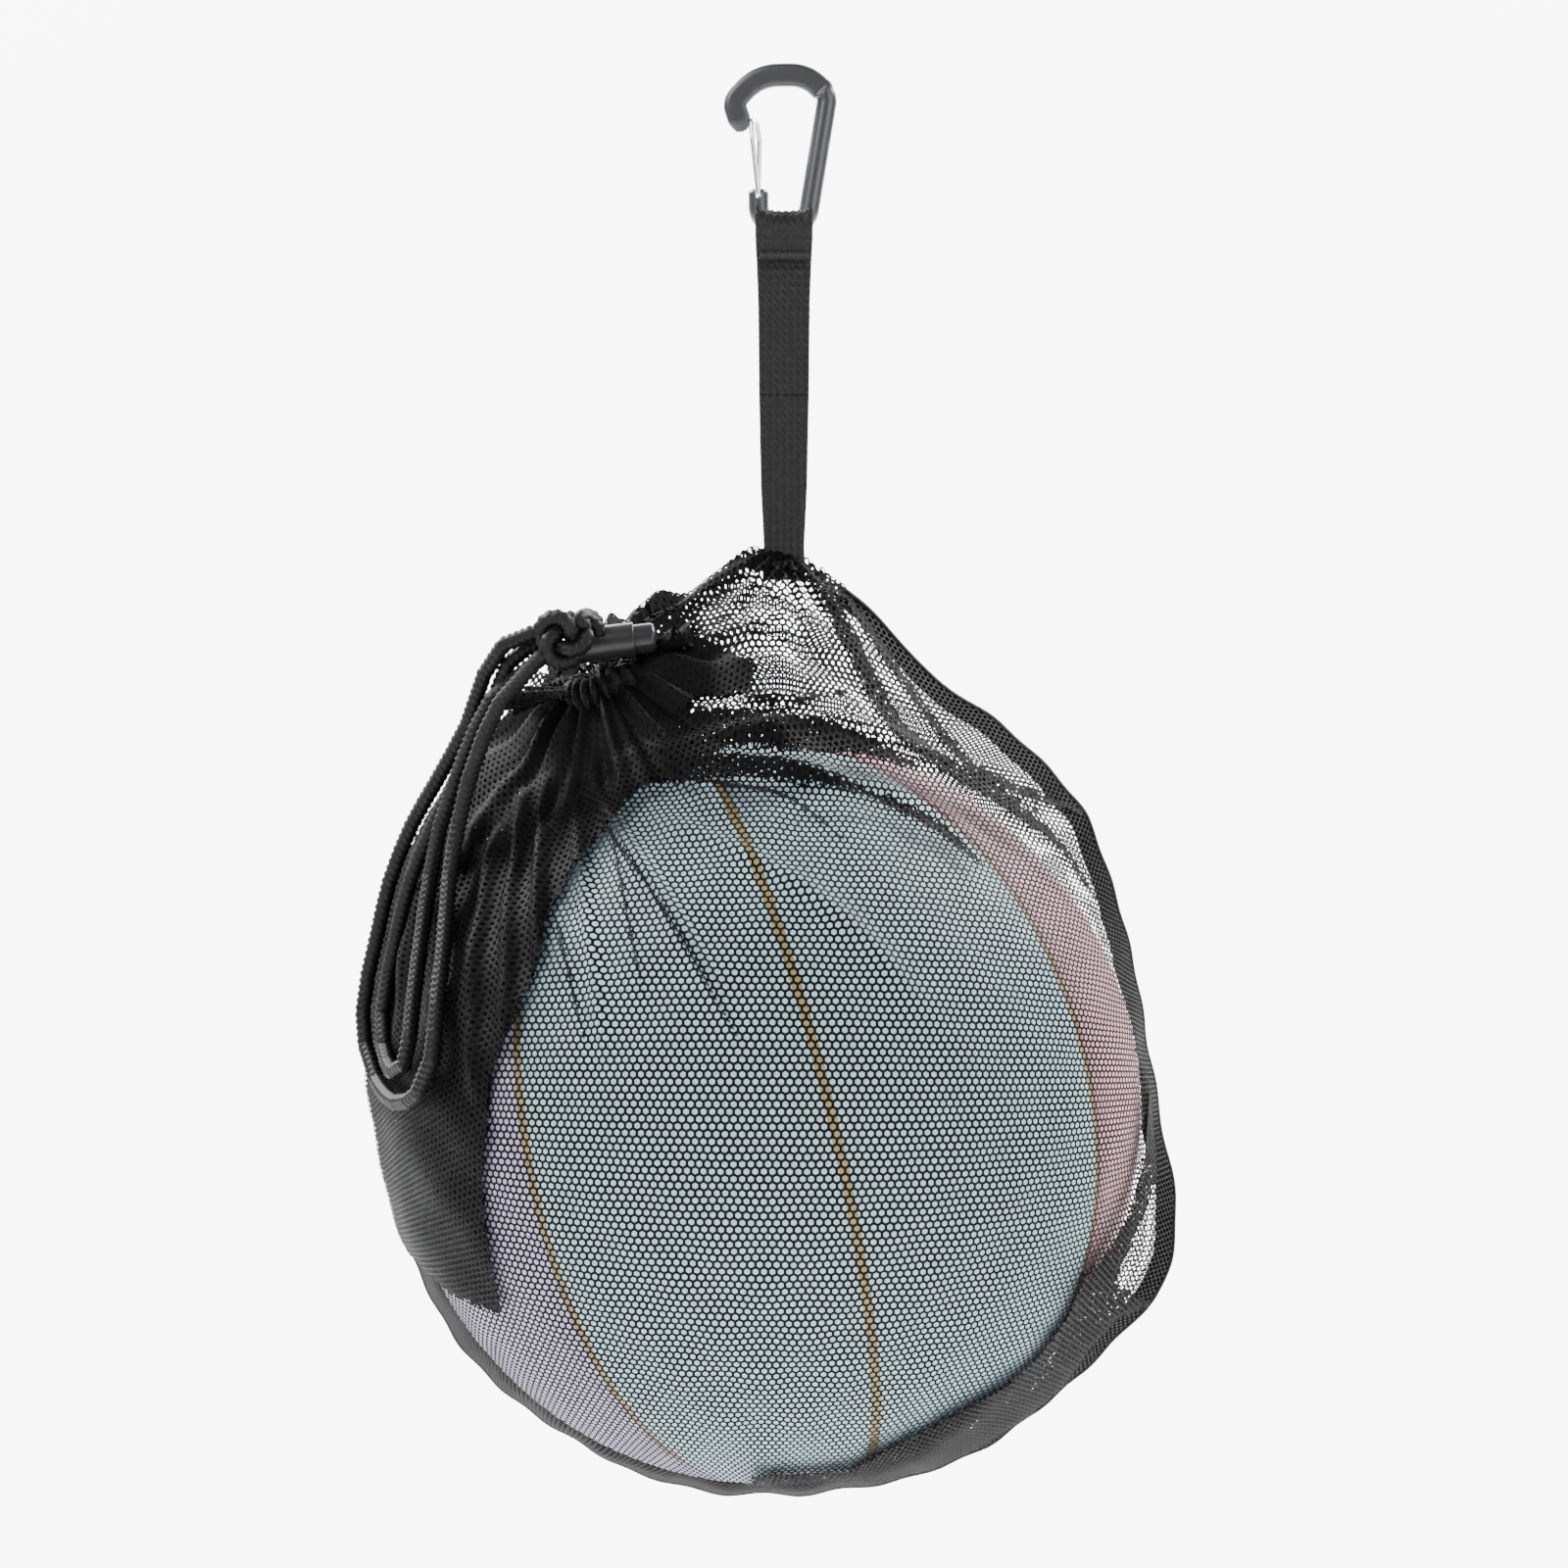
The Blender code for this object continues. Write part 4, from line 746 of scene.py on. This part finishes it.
BANDS = [
    band(((0.0067, -0.1530), (0.0175, -0.1720), (0.0270, -0.1910), (0.0370, -0.2080),
          (0.0520, -0.2200), (0.0700, -0.2310), (0.0880, -0.2450), (0.1010, -0.2640)), 0.0024),
    band(((0.0200, -0.1650), (0.0340, -0.1860), (0.0480, -0.2060), (0.0640, -0.2240),
          (0.0850, -0.2370)), 0.0013),
    band(((0.0600, -0.2210), (0.0780, -0.2290), (0.0960, -0.2350)), 0.0015),
    band(((-0.0100, -0.1530), (-0.0260, -0.1610), (-0.0480, -0.1740)), 0.0024),
    band(((-0.0420, -0.2110), (-0.0250, -0.2080), (0.0000, -0.2090), (0.0230, -0.2130),
          (0.0430, -0.2210)), 0.0055),
    band(((-0.0440, -0.2230), (-0.0150, -0.2200), (0.0130, -0.2240), (0.0330, -0.2320)),
         0.0034),
    band(((0.0270, -0.2290), (0.0480, -0.2390), (0.0660, -0.2540)), 0.0014),
    band(((-0.0440, -0.1930), (-0.0250, -0.1940), (-0.0090, -0.1950)), 0.0040),
    band(((-0.0150, -0.1960), (0.0000, -0.1990), (0.0220, -0.1960)), 0.0010),
    band(((-0.0470, -0.2150), (-0.0300, -0.2130), (-0.0180, -0.2140)), 0.0062),
    [(-0.0210, -0.1490), (0.0160, -0.1490), (0.0180, -0.1566), (-0.0230, -0.1566)],
]
EAR_BAND = [(0.1184, -0.3240), (0.1168, -0.3467), (0.1118, -0.3657), (0.1048, -0.3768),
            (0.0968, -0.3879), (0.0905, -0.4006), (0.0825, -0.4117), (0.0730, -0.4203),
            (0.0603, -0.4276), (0.0444, -0.4362), (0.0317, -0.4425), (0.0222, -0.4483),
            (-0.0100, -0.4500), (-0.0100, -0.4536), (0.0317, -0.4510), (0.0476, -0.4483),
            (0.0640, -0.4405), (0.0790, -0.4310), (0.0905, -0.4213), (0.0968, -0.4117),
            (0.1080, -0.3990), (0.1190, -0.3945), (0.1063, -0.3879), (0.1111, -0.3768),
            (0.1159, -0.3657), (0.1206, -0.3514), (0.1190, -0.3276), (0.1168, -0.3181)]
folds, area = layered("net_folds", BANDS + [EAR_BAND], (-0.0005, 0.0006, 0.0011),
                      (0.46, 0.58, 0.62), rim=0.968)
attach(folds, "bag")

# Thin creases run on from the folds over the ball, where the cloth is pulled towards the mouth.
# Each is one close fold of the same net.
CREASES = [
    band(((-0.0606, -0.2362), (-0.0460, -0.2560), (-0.0330, -0.2760), (-0.0232, -0.2937),
          (-0.0150, -0.3080)), 0.0007),
    band(((-0.0737, -0.2700), (-0.0690, -0.2900), (-0.0635, -0.3133)), 0.0006),
    band(((-0.0448, -0.2225), (-0.0200, -0.2260), (0.0016, -0.2306), (0.0241, -0.2483)), 0.0007),
    band(((-0.0560, -0.2400), (-0.0500, -0.2720), (-0.0440, -0.3000)), 0.0005),
]
creases, area = layered("net_creases", CREASES, (0.0004,), (0.30,), pitch=0.0009)
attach(creases, "bag")

# The side seam: the two panels' edges folded together and overlocked. It runs from the strap's
# right side down under the ball and up to the mouth, and lies clear of the ball all the way.
SEAM_STEPS = 900
SEAM_CLEAR = 0.1206
seam_clock = np.radians(np.linspace(7.5, 330.0, SEAM_STEPS))
edge_on = np.full(SEAM_STEPS, np.pi / 2)
outward = towards(seam_clock, edge_on, -1.0)
held = np.maximum(bag_radius(seam_clock, edge_on, -1.0, outward),
                  bag_radius(seam_clock, edge_on, 1.0, outward))
rim = BALL + outward * held[:, None]
profile = [(-0.0062, -0.0007), (-0.0030, -0.0010), (-0.0004, -0.0011), (0.0006, 0.0),
           (-0.0004, 0.0011), (-0.0030, 0.0010), (-0.0062, 0.0007)]
wave = 1 + 0.22 * np.sin(np.arange(SEAM_STEPS) * 1.9)
rings = [rim + outward * p + np.array((0, 1.0, 0)) * (q * wave)[:, None] for p, q in profile]
rings = np.stack(rings, 1) - BALL
from_centre = np.linalg.norm(rings, axis=-1, keepdims=True)
rings = BALL + rings * (np.maximum(from_centre, SEAM_CLEAR) / from_centre)
seam = put("seam_binding", rings, grid_faces(SEAM_STEPS, len(profile), closed=True), net_black)
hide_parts("side_seam", "shoulder_seam")
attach(seam, "bag")

# The hem round the mouth: a tunnel of folded net that the cord runs through. The cord is drawn
# up tight, so the hem stands in pleats and hides it.
HEM_ROUND = 480
HEM_SIDES = 20
HEM_OUT = 0.0095            # from the mouth's middle to the middle of the tunnel
hem_black, shader, tree = finish_of("gathered_hem", (0.004, 0.004, 0.0045), 0.6, specular=0.12)
grain(tree, shader, 900.0, 0.8, 0.0006, "ShaderNodeTexVoronoi")
angle, round_it = np.meshgrid(np.linspace(0, 2 * np.pi, HEM_ROUND, endpoint=False),
                              np.linspace(0, 2 * np.pi, HEM_SIDES, endpoint=False),
                              indexing="ij")
pleat = (0.5 + 0.5 * np.cos(21 * angle + 1.4 * np.sin(3 * angle))) ** 0.7
tube = 0.0034 + 0.0021 * pleat + 0.0005 * np.sin(5 * angle + round_it)
out = HEM_OUT + np.cos(round_it) * tube
high = 0.0016 + np.sin(round_it) * tube * 1.15
points = (MOUTH + MOUTH_RIGHT * (out * np.cos(angle))[..., None]
          + MOUTH_BACK * (out * np.sin(angle))[..., None] + MOUTH_OUT * high[..., None])
index = np.arange(HEM_ROUND * HEM_SIDES).reshape(HEM_ROUND, HEM_SIDES)
onward = np.roll(index, -1, axis=0)
faces = np.stack([index, np.roll(index, -1, axis=1), np.roll(onward, -1, axis=1), onward], -1)
hem = put("hem_gathered", points, faces.reshape(-1, 4), hem_black)
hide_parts("hem_tunnel", "channel_cord")
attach(hem, "bag")

# Past the hem the net's cut edge stands out in a ruffle, to the left of the mouth and behind
# the lock. It is finer than the panels, as the cloth there is drawn together.
RUFFLE_LENGTH = 0.150
RUFFLE_DEPTH = 0.030
RUFFLE_PITCH = 0.0023


def ruffle_place(a, b):
    """Flat places on the ruffle to where they stand round the mouth."""
    share = np.clip(b / RUFFLE_DEPTH, -0.2, 1.0)
    angle = np.clip(a / RUFFLE_LENGTH, -0.5, 0.5) * 2.55 * np.pi / 2 * 1.08 + 1.72
    reach = 0.0100 + 0.0200 * share * (1.0 + 0.30 * np.sin(2.0 * angle + 0.6))
    ruffle = share * 0.0036 * np.sin(11 * angle + 1.0 * np.sin(2 * angle)) + share * 0.0016 * (
        np.sin(23 * angle + 2.0))
    high = 0.0052 + 0.0040 * share + ruffle
    spot = (MOUTH + MOUTH_RIGHT * (reach * np.cos(angle))[..., None]
            + MOUTH_BACK * (reach * np.sin(angle))[..., None] + MOUTH_OUT * high[..., None])
    return spot, np.broadcast_to(MOUTH_OUT, spot.shape), share


ruffle, _ = net("hem_ruffle", ruffle_place,
                lambda spot, direction, share: (share > 0.0) & (share < 0.98),
                RUFFLE_LENGTH, 0.064, net_black, pitch=RUFFLE_PITCH, open_share=0.42)
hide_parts("mouth_frill")
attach(ruffle, "bag")

# The cord lock: a black nylon barrel with a button in its open end, both slotted for the cords.
# A steel spring behind the button pushes the two slots out of line and grips the cords.
BARREL_LENGTH = 0.0213
BARREL_RADIUS = 0.0056
BARREL_BORE = 0.0050
BARREL_FLOOR = 0.0007
BUTTON_START = 0.0067
BUTTON_TIP = 0.0281
BUTTON_RADIUS = 0.0047
SLOT_START = 0.0083
SLOT_HALF_WIDTH = 0.0035
BARREL_SLOT_END = 0.0121
BUTTON_SLOT_END = 0.0153
nylon, shader, tree = finish_of("moulded_nylon", (0.010, 0.010, 0.011), 0.33, specular=0.35)
grain(tree, shader, 1500.0, 0.06, 0.0001)
lock_end = SLOT - LOCK_AXIS * 0.0102


def lathe(name, profile, finish, count=56):
    """A solid turned round the lock's axis from (along, radius) pairs."""
    angle = np.linspace(0, 2 * np.pi, count, endpoint=False)
    rows = [lock_end + LOCK_AXIS * a + (CORD_OUT * np.cos(angle)[:, None]
                                        + CORD_ASIDE * np.sin(angle)[:, None]) * max(r, 1e-5)
            for a, r in profile]
    return put(name, np.array(rows), grid_faces(len(profile), count, closed=True), finish)


def slotted(made, start, end, half_wide):
    """Cuts a cord slot right through a turned piece."""
    corners = []
    for out in (-0.012, 0.012):
        for a, b in ((start, -half_wide), (end, -half_wide), (end, half_wide), (start, half_wide)):
            corners.append(lock_end + LOCK_AXIS * a + CORD_ASIDE * b + CORD_OUT * out)
    block = put("slot_block", corners, [(3, 2, 1, 0), (4, 5, 6, 7), (0, 1, 5, 4), (1, 2, 6, 5),
                                        (2, 3, 7, 6), (3, 0, 4, 7)], nylon, smooth=False)
    for solid in (block, made):
        bm = bmesh.new()
        bm.from_mesh(solid.data)
        bmesh.ops.remove_doubles(bm, verts=bm.verts, dist=1e-5)
        bmesh.ops.recalc_face_normals(bm, faces=bm.faces)
        bm.to_mesh(solid.data)
        bm.free()
    cut = made.modifiers.new("slot", "BOOLEAN")
    cut.operation = "DIFFERENCE"
    cut.solver = "EXACT"
    cut.object = block
    mesh = bpy.data.meshes.new_from_object(
        made.evaluated_get(bpy.context.evaluated_depsgraph_get()))
    made.modifiers.clear()
    made.data = mesh
    mesh.set_sharp_from_angle(angle=math.radians(32))
    bpy.data.objects.remove(block)
    return made


def rounded(start, end, radius, edge, far_edge):
    """A turned profile's outer side with its two edges rounded."""
    side = [(start + edge * (1 - math.cos(t)), radius - edge * (1 - math.sin(t)))
            for t in np.linspace(0, math.pi / 2, 6)]
    side += [(end - far_edge * (1 - math.sin(t)), radius - far_edge * (1 - math.cos(t)))
             for t in np.linspace(0, math.pi / 2, 6)]
    return side


barrel = lathe("lock_barrel_moulded", [(0, 0)]
               + rounded(0, BARREL_LENGTH, BARREL_RADIUS, 0.0011, 0.0004)
               + [(BARREL_LENGTH, BARREL_BORE), (BARREL_FLOOR, BARREL_BORE), (BARREL_FLOOR, 0)],
               nylon)
slotted(barrel, SLOT_START, BARREL_SLOT_END, SLOT_HALF_WIDTH)
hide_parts("lock_barrel")
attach(barrel, "cord_lock")
button = lathe("lock_button_moulded", [(BUTTON_START, 0)]
               + rounded(BUTTON_START, BUTTON_TIP, BUTTON_RADIUS, 0.0003, 0.0016)
               + [(BUTTON_TIP, 0)], nylon)
slotted(button, SLOT_START, BUTTON_SLOT_END, SLOT_HALF_WIDTH)
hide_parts("lock_button")
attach(button, "button")
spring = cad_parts["lock_spring"]
spring.data.materials.clear()
spring.data.materials.append(steel)

# The ball: eight pebbled panels in three soft colours, glued to a gold moulded carcass that
# shows between them in the channels. It lies loose in the bag.
BALL_RADIUS = 0.1200
CARCASS_RADIUS = 0.1184
EDGE_DROP = 0.0013          # how far a panel's edge rolls down into its channel
CAP_AXIS = np.array((0.959, 0.168, 0.227))
CAP_AXIS /= np.linalg.norm(CAP_AXIS)
FRONT_POLE = np.array((0.177, -0.984, -0.023))
FRONT_POLE -= CAP_AXIS * (FRONT_POLE @ CAP_AXIS)
FRONT_POLE /= np.linalg.norm(FRONT_POLE)
UP_POLE = np.cross(FRONT_POLE, CAP_AXIS)
HALF_CHANNEL = 0.0016 / BALL_RADIUS


def on_ball(latitude, longitude):
    """Unit directions from the ball's centre, by angle from the middle channel."""
    flat = (FRONT_POLE * np.cos(longitude)[..., None] + UP_POLE * np.sin(longitude)[..., None])
    return flat * np.cos(latitude)[..., None] + CAP_AXIS * np.sin(latitude)[..., None]


def side_seam(longitude):
    """How far from the middle channel the curved side channels run."""
    t = longitude / (np.pi / 2)
    return np.arcsin(0.749 * (1 - 0.42 * t**2 - 0.30 * t**4))


def leather(name, colour):
    """Pebbled cover material, with painted light on the middle of each pebble and painted shade
    between the pebbles.
    """
    made, shader, tree = finish_of(name, colour, 0.50, specular=0.4)
    pebble = grain(tree, shader, 620.0, 0.55, 0.0004, "ShaderNodeTexVoronoi")
    # Painted light and shade: the colour is scaled up to 1.06 at each pebble's middle and down to
    # 0.86 between the pebbles.
    pebble_light_and_shade = tree.nodes.new("ShaderNodeMapRange")
    pebble_light_and_shade.inputs["From Max"].default_value = 0.7
    pebble_light_and_shade.inputs["To Min"].default_value = 1.06
    pebble_light_and_shade.inputs["To Max"].default_value = 0.86
    mix = tree.nodes.new("ShaderNodeVectorMath")
    mix.operation = "SCALE"
    mix.inputs[0].default_value = colour
    tree.links.new(pebble.outputs["Distance"], pebble_light_and_shade.inputs["Value"])
    tree.links.new(pebble_light_and_shade.outputs["Result"], mix.inputs["Scale"])
    tree.links.new(mix.outputs["Vector"], shader.inputs["Base Color"])
    return made


blue = leather("ball_blue_leather", (0.58, 0.90, 1.0))
lavender = leather("ball_lavender_leather", (0.74, 0.66, 0.94))
pink = leather("ball_pink_leather", (0.95, 0.50, 0.55))
gold, shader, tree = finish_of("channel_gold", (0.44, 0.33, 0.13), 0.5)
grain(tree, shader, 1200.0, 0.2, 0.0002)
across_count, along_count = 26, 66
edge_share = np.clip(np.minimum(np.linspace(0, 1, across_count),
                                np.linspace(1, 0, across_count)) * 14, 0, 1)
end_share = np.clip(np.minimum(np.linspace(0, 1, along_count),
                               np.linspace(1, 0, along_count)) * 40, 0, 1)
roll = np.sqrt(1 - (1 - np.minimum(end_share[:, None], edge_share[None])) ** 2)
for half, turned in (("front", 0), ("back", 1)):
    for side, hand in (("left", -1), ("right", 1)):
        longitude = (np.pi / 2 - HALF_CHANNEL) * np.linspace(-1, 1, along_count)
        seam_at = side_seam(longitude)
        part = np.linspace(0, 1, across_count)
        latitude = HALF_CHANNEL + (seam_at - 2 * HALF_CHANNEL)[:, None] * part
        centre = on_ball(hand * latitude, longitude[:, None] + np.pi * turned + 0 * latitude)
        first = on_ball(hand * (seam_at + HALF_CHANNEL), longitude + np.pi * turned)
        sweep_angle = (np.pi / 2 - side_seam(longitude[-1]) - HALF_CHANNEL) * np.linspace(
            -1, 1, along_count)
        pole = FRONT_POLE * math.cos(np.pi * turned)
        rim = (CAP_AXIS * (hand * np.cos(sweep_angle))[:, None]
               + UP_POLE * (np.sin(sweep_angle) * math.cos(np.pi * turned))[:, None])
        last = rim * math.cos(HALF_CHANNEL) + pole * math.sin(HALF_CHANNEL)
        between = np.arccos(np.clip((first * last).sum(1), -1, 1))[:, None]
        cap = (first[:, None] * (np.sin((1 - part) * between) / np.sin(between))[..., None]
               + last[:, None] * (np.sin(part * between) / np.sin(between))[..., None])
        for kind, grid, trim in (("centre", centre, slice(None)), ("cap", cap, slice(1, -1))):
            grid = grid[trim]
            cut_roll = roll[trim] if kind == "centre" else np.sqrt(1 - (1 - np.minimum(
                np.clip(np.minimum(np.arange(len(grid)), np.arange(len(grid))[::-1]) / 2.0, 0, 1
                        )[:, None], edge_share[None])) ** 2)
            radius = BALL_RADIUS - EDGE_DROP * (1 - cut_roll)
            points = BALL + grid * radius[..., None]
            colour = blue if kind == "centre" else (pink if hand > 0 else lavender)
            node = f"ball_{half}_{side}_{kind}_panel"
            panel = put(f"leather_{half}_{side}_{kind}", points,
                        grid_faces(len(grid), across_count), colour)
            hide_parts(node)
            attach(panel, "ball")
angle, tip = np.meshgrid(np.linspace(0, 2 * np.pi, 96, endpoint=False),
                         np.linspace(0.002, np.pi - 0.002, 64), indexing="ij")
sphere = np.stack([np.cos(angle) * np.sin(tip), np.sin(angle) * np.sin(tip), np.cos(tip)], -1)
points = (BALL + sphere * CARCASS_RADIUS).transpose(1, 0, 2)
carcass = put("ball_carcass_moulded", points, grid_faces(64, 96, closed=True), gold)
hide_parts("ball_carcass")
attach(carcass, "ball")

# The ball's valve: a small plug of dark rubber pushed into the back of the carcass, where the
# bag's front doesn't show it. Its shape is the frame's own.
rubber, shader, tree = finish_of("valve_rubber", (0.05, 0.05, 0.05), 0.6)
grain(tree, shader, 2000.0, 0.2, 0.0001)
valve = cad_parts["ball_valve"]
valve.data.materials.clear()
valve.data.materials.append(rubber)

# The studio: a plain white floor that curves up into a white wall, two lamps that light the
# wall, and a soft key lamp and a fill for the bag.
FLOOR = -0.62
WALL = 2.2
COVE = 0.6
world = bpy.data.worlds.new("world")
bpy.context.scene.world = world
world.use_nodes = True
world.node_tree.nodes["Background"].inputs[0].default_value = (1, 1, 1, 1)
world.node_tree.nodes["Background"].inputs[1].default_value = 0.42
white, _, _ = finish_of("studio_white", (0.95, 0.95, 0.95), 0.9, specular=0.0)
profile = [(-3.0, FLOOR), (WALL - COVE, FLOOR)]
for k in range(9):
    angle = math.pi / 2 * k / 8
    profile.append((WALL - COVE + COVE * math.sin(angle), FLOOR + COVE - COVE * math.cos(angle)))
profile.append((WALL, 3.0))
rows = [[(-3.5, y, z), (3.5, y, z)] for y, z in profile]
sweep = put("studio_floor", np.array(rows).reshape(-1, 3), grid_faces(len(rows), 2), white)
sweep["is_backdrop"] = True
for name, place, aim, size, power in (
    ("key", (-1.2, -1.6, 1.1), (0, 0, -0.25), 1.2, 62.0),
    ("fill", (1.5, -1.4, 0.2), (0, 0, -0.25), 1.4, 28.0),
    ("wall_left", (-1.4, 0.8, 1.3), (-0.3, 2.2, -0.3), 1.0, 260.0),
    ("wall_right", (1.4, 0.8, 1.3), (0.3, 2.2, -0.3), 1.0, 260.0),
):
    data = bpy.data.lights.new(name, "AREA")
    data.size = size
    data.energy = power
    lamp = bpy.data.objects.new(name, data)
    lamp.location = place
    lamp.rotation_euler = (Vector(aim) - Vector(place)).to_track_quat("-Z", "Y").to_euler()
    bpy.context.scene.collection.objects.link(lamp)

low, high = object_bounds()
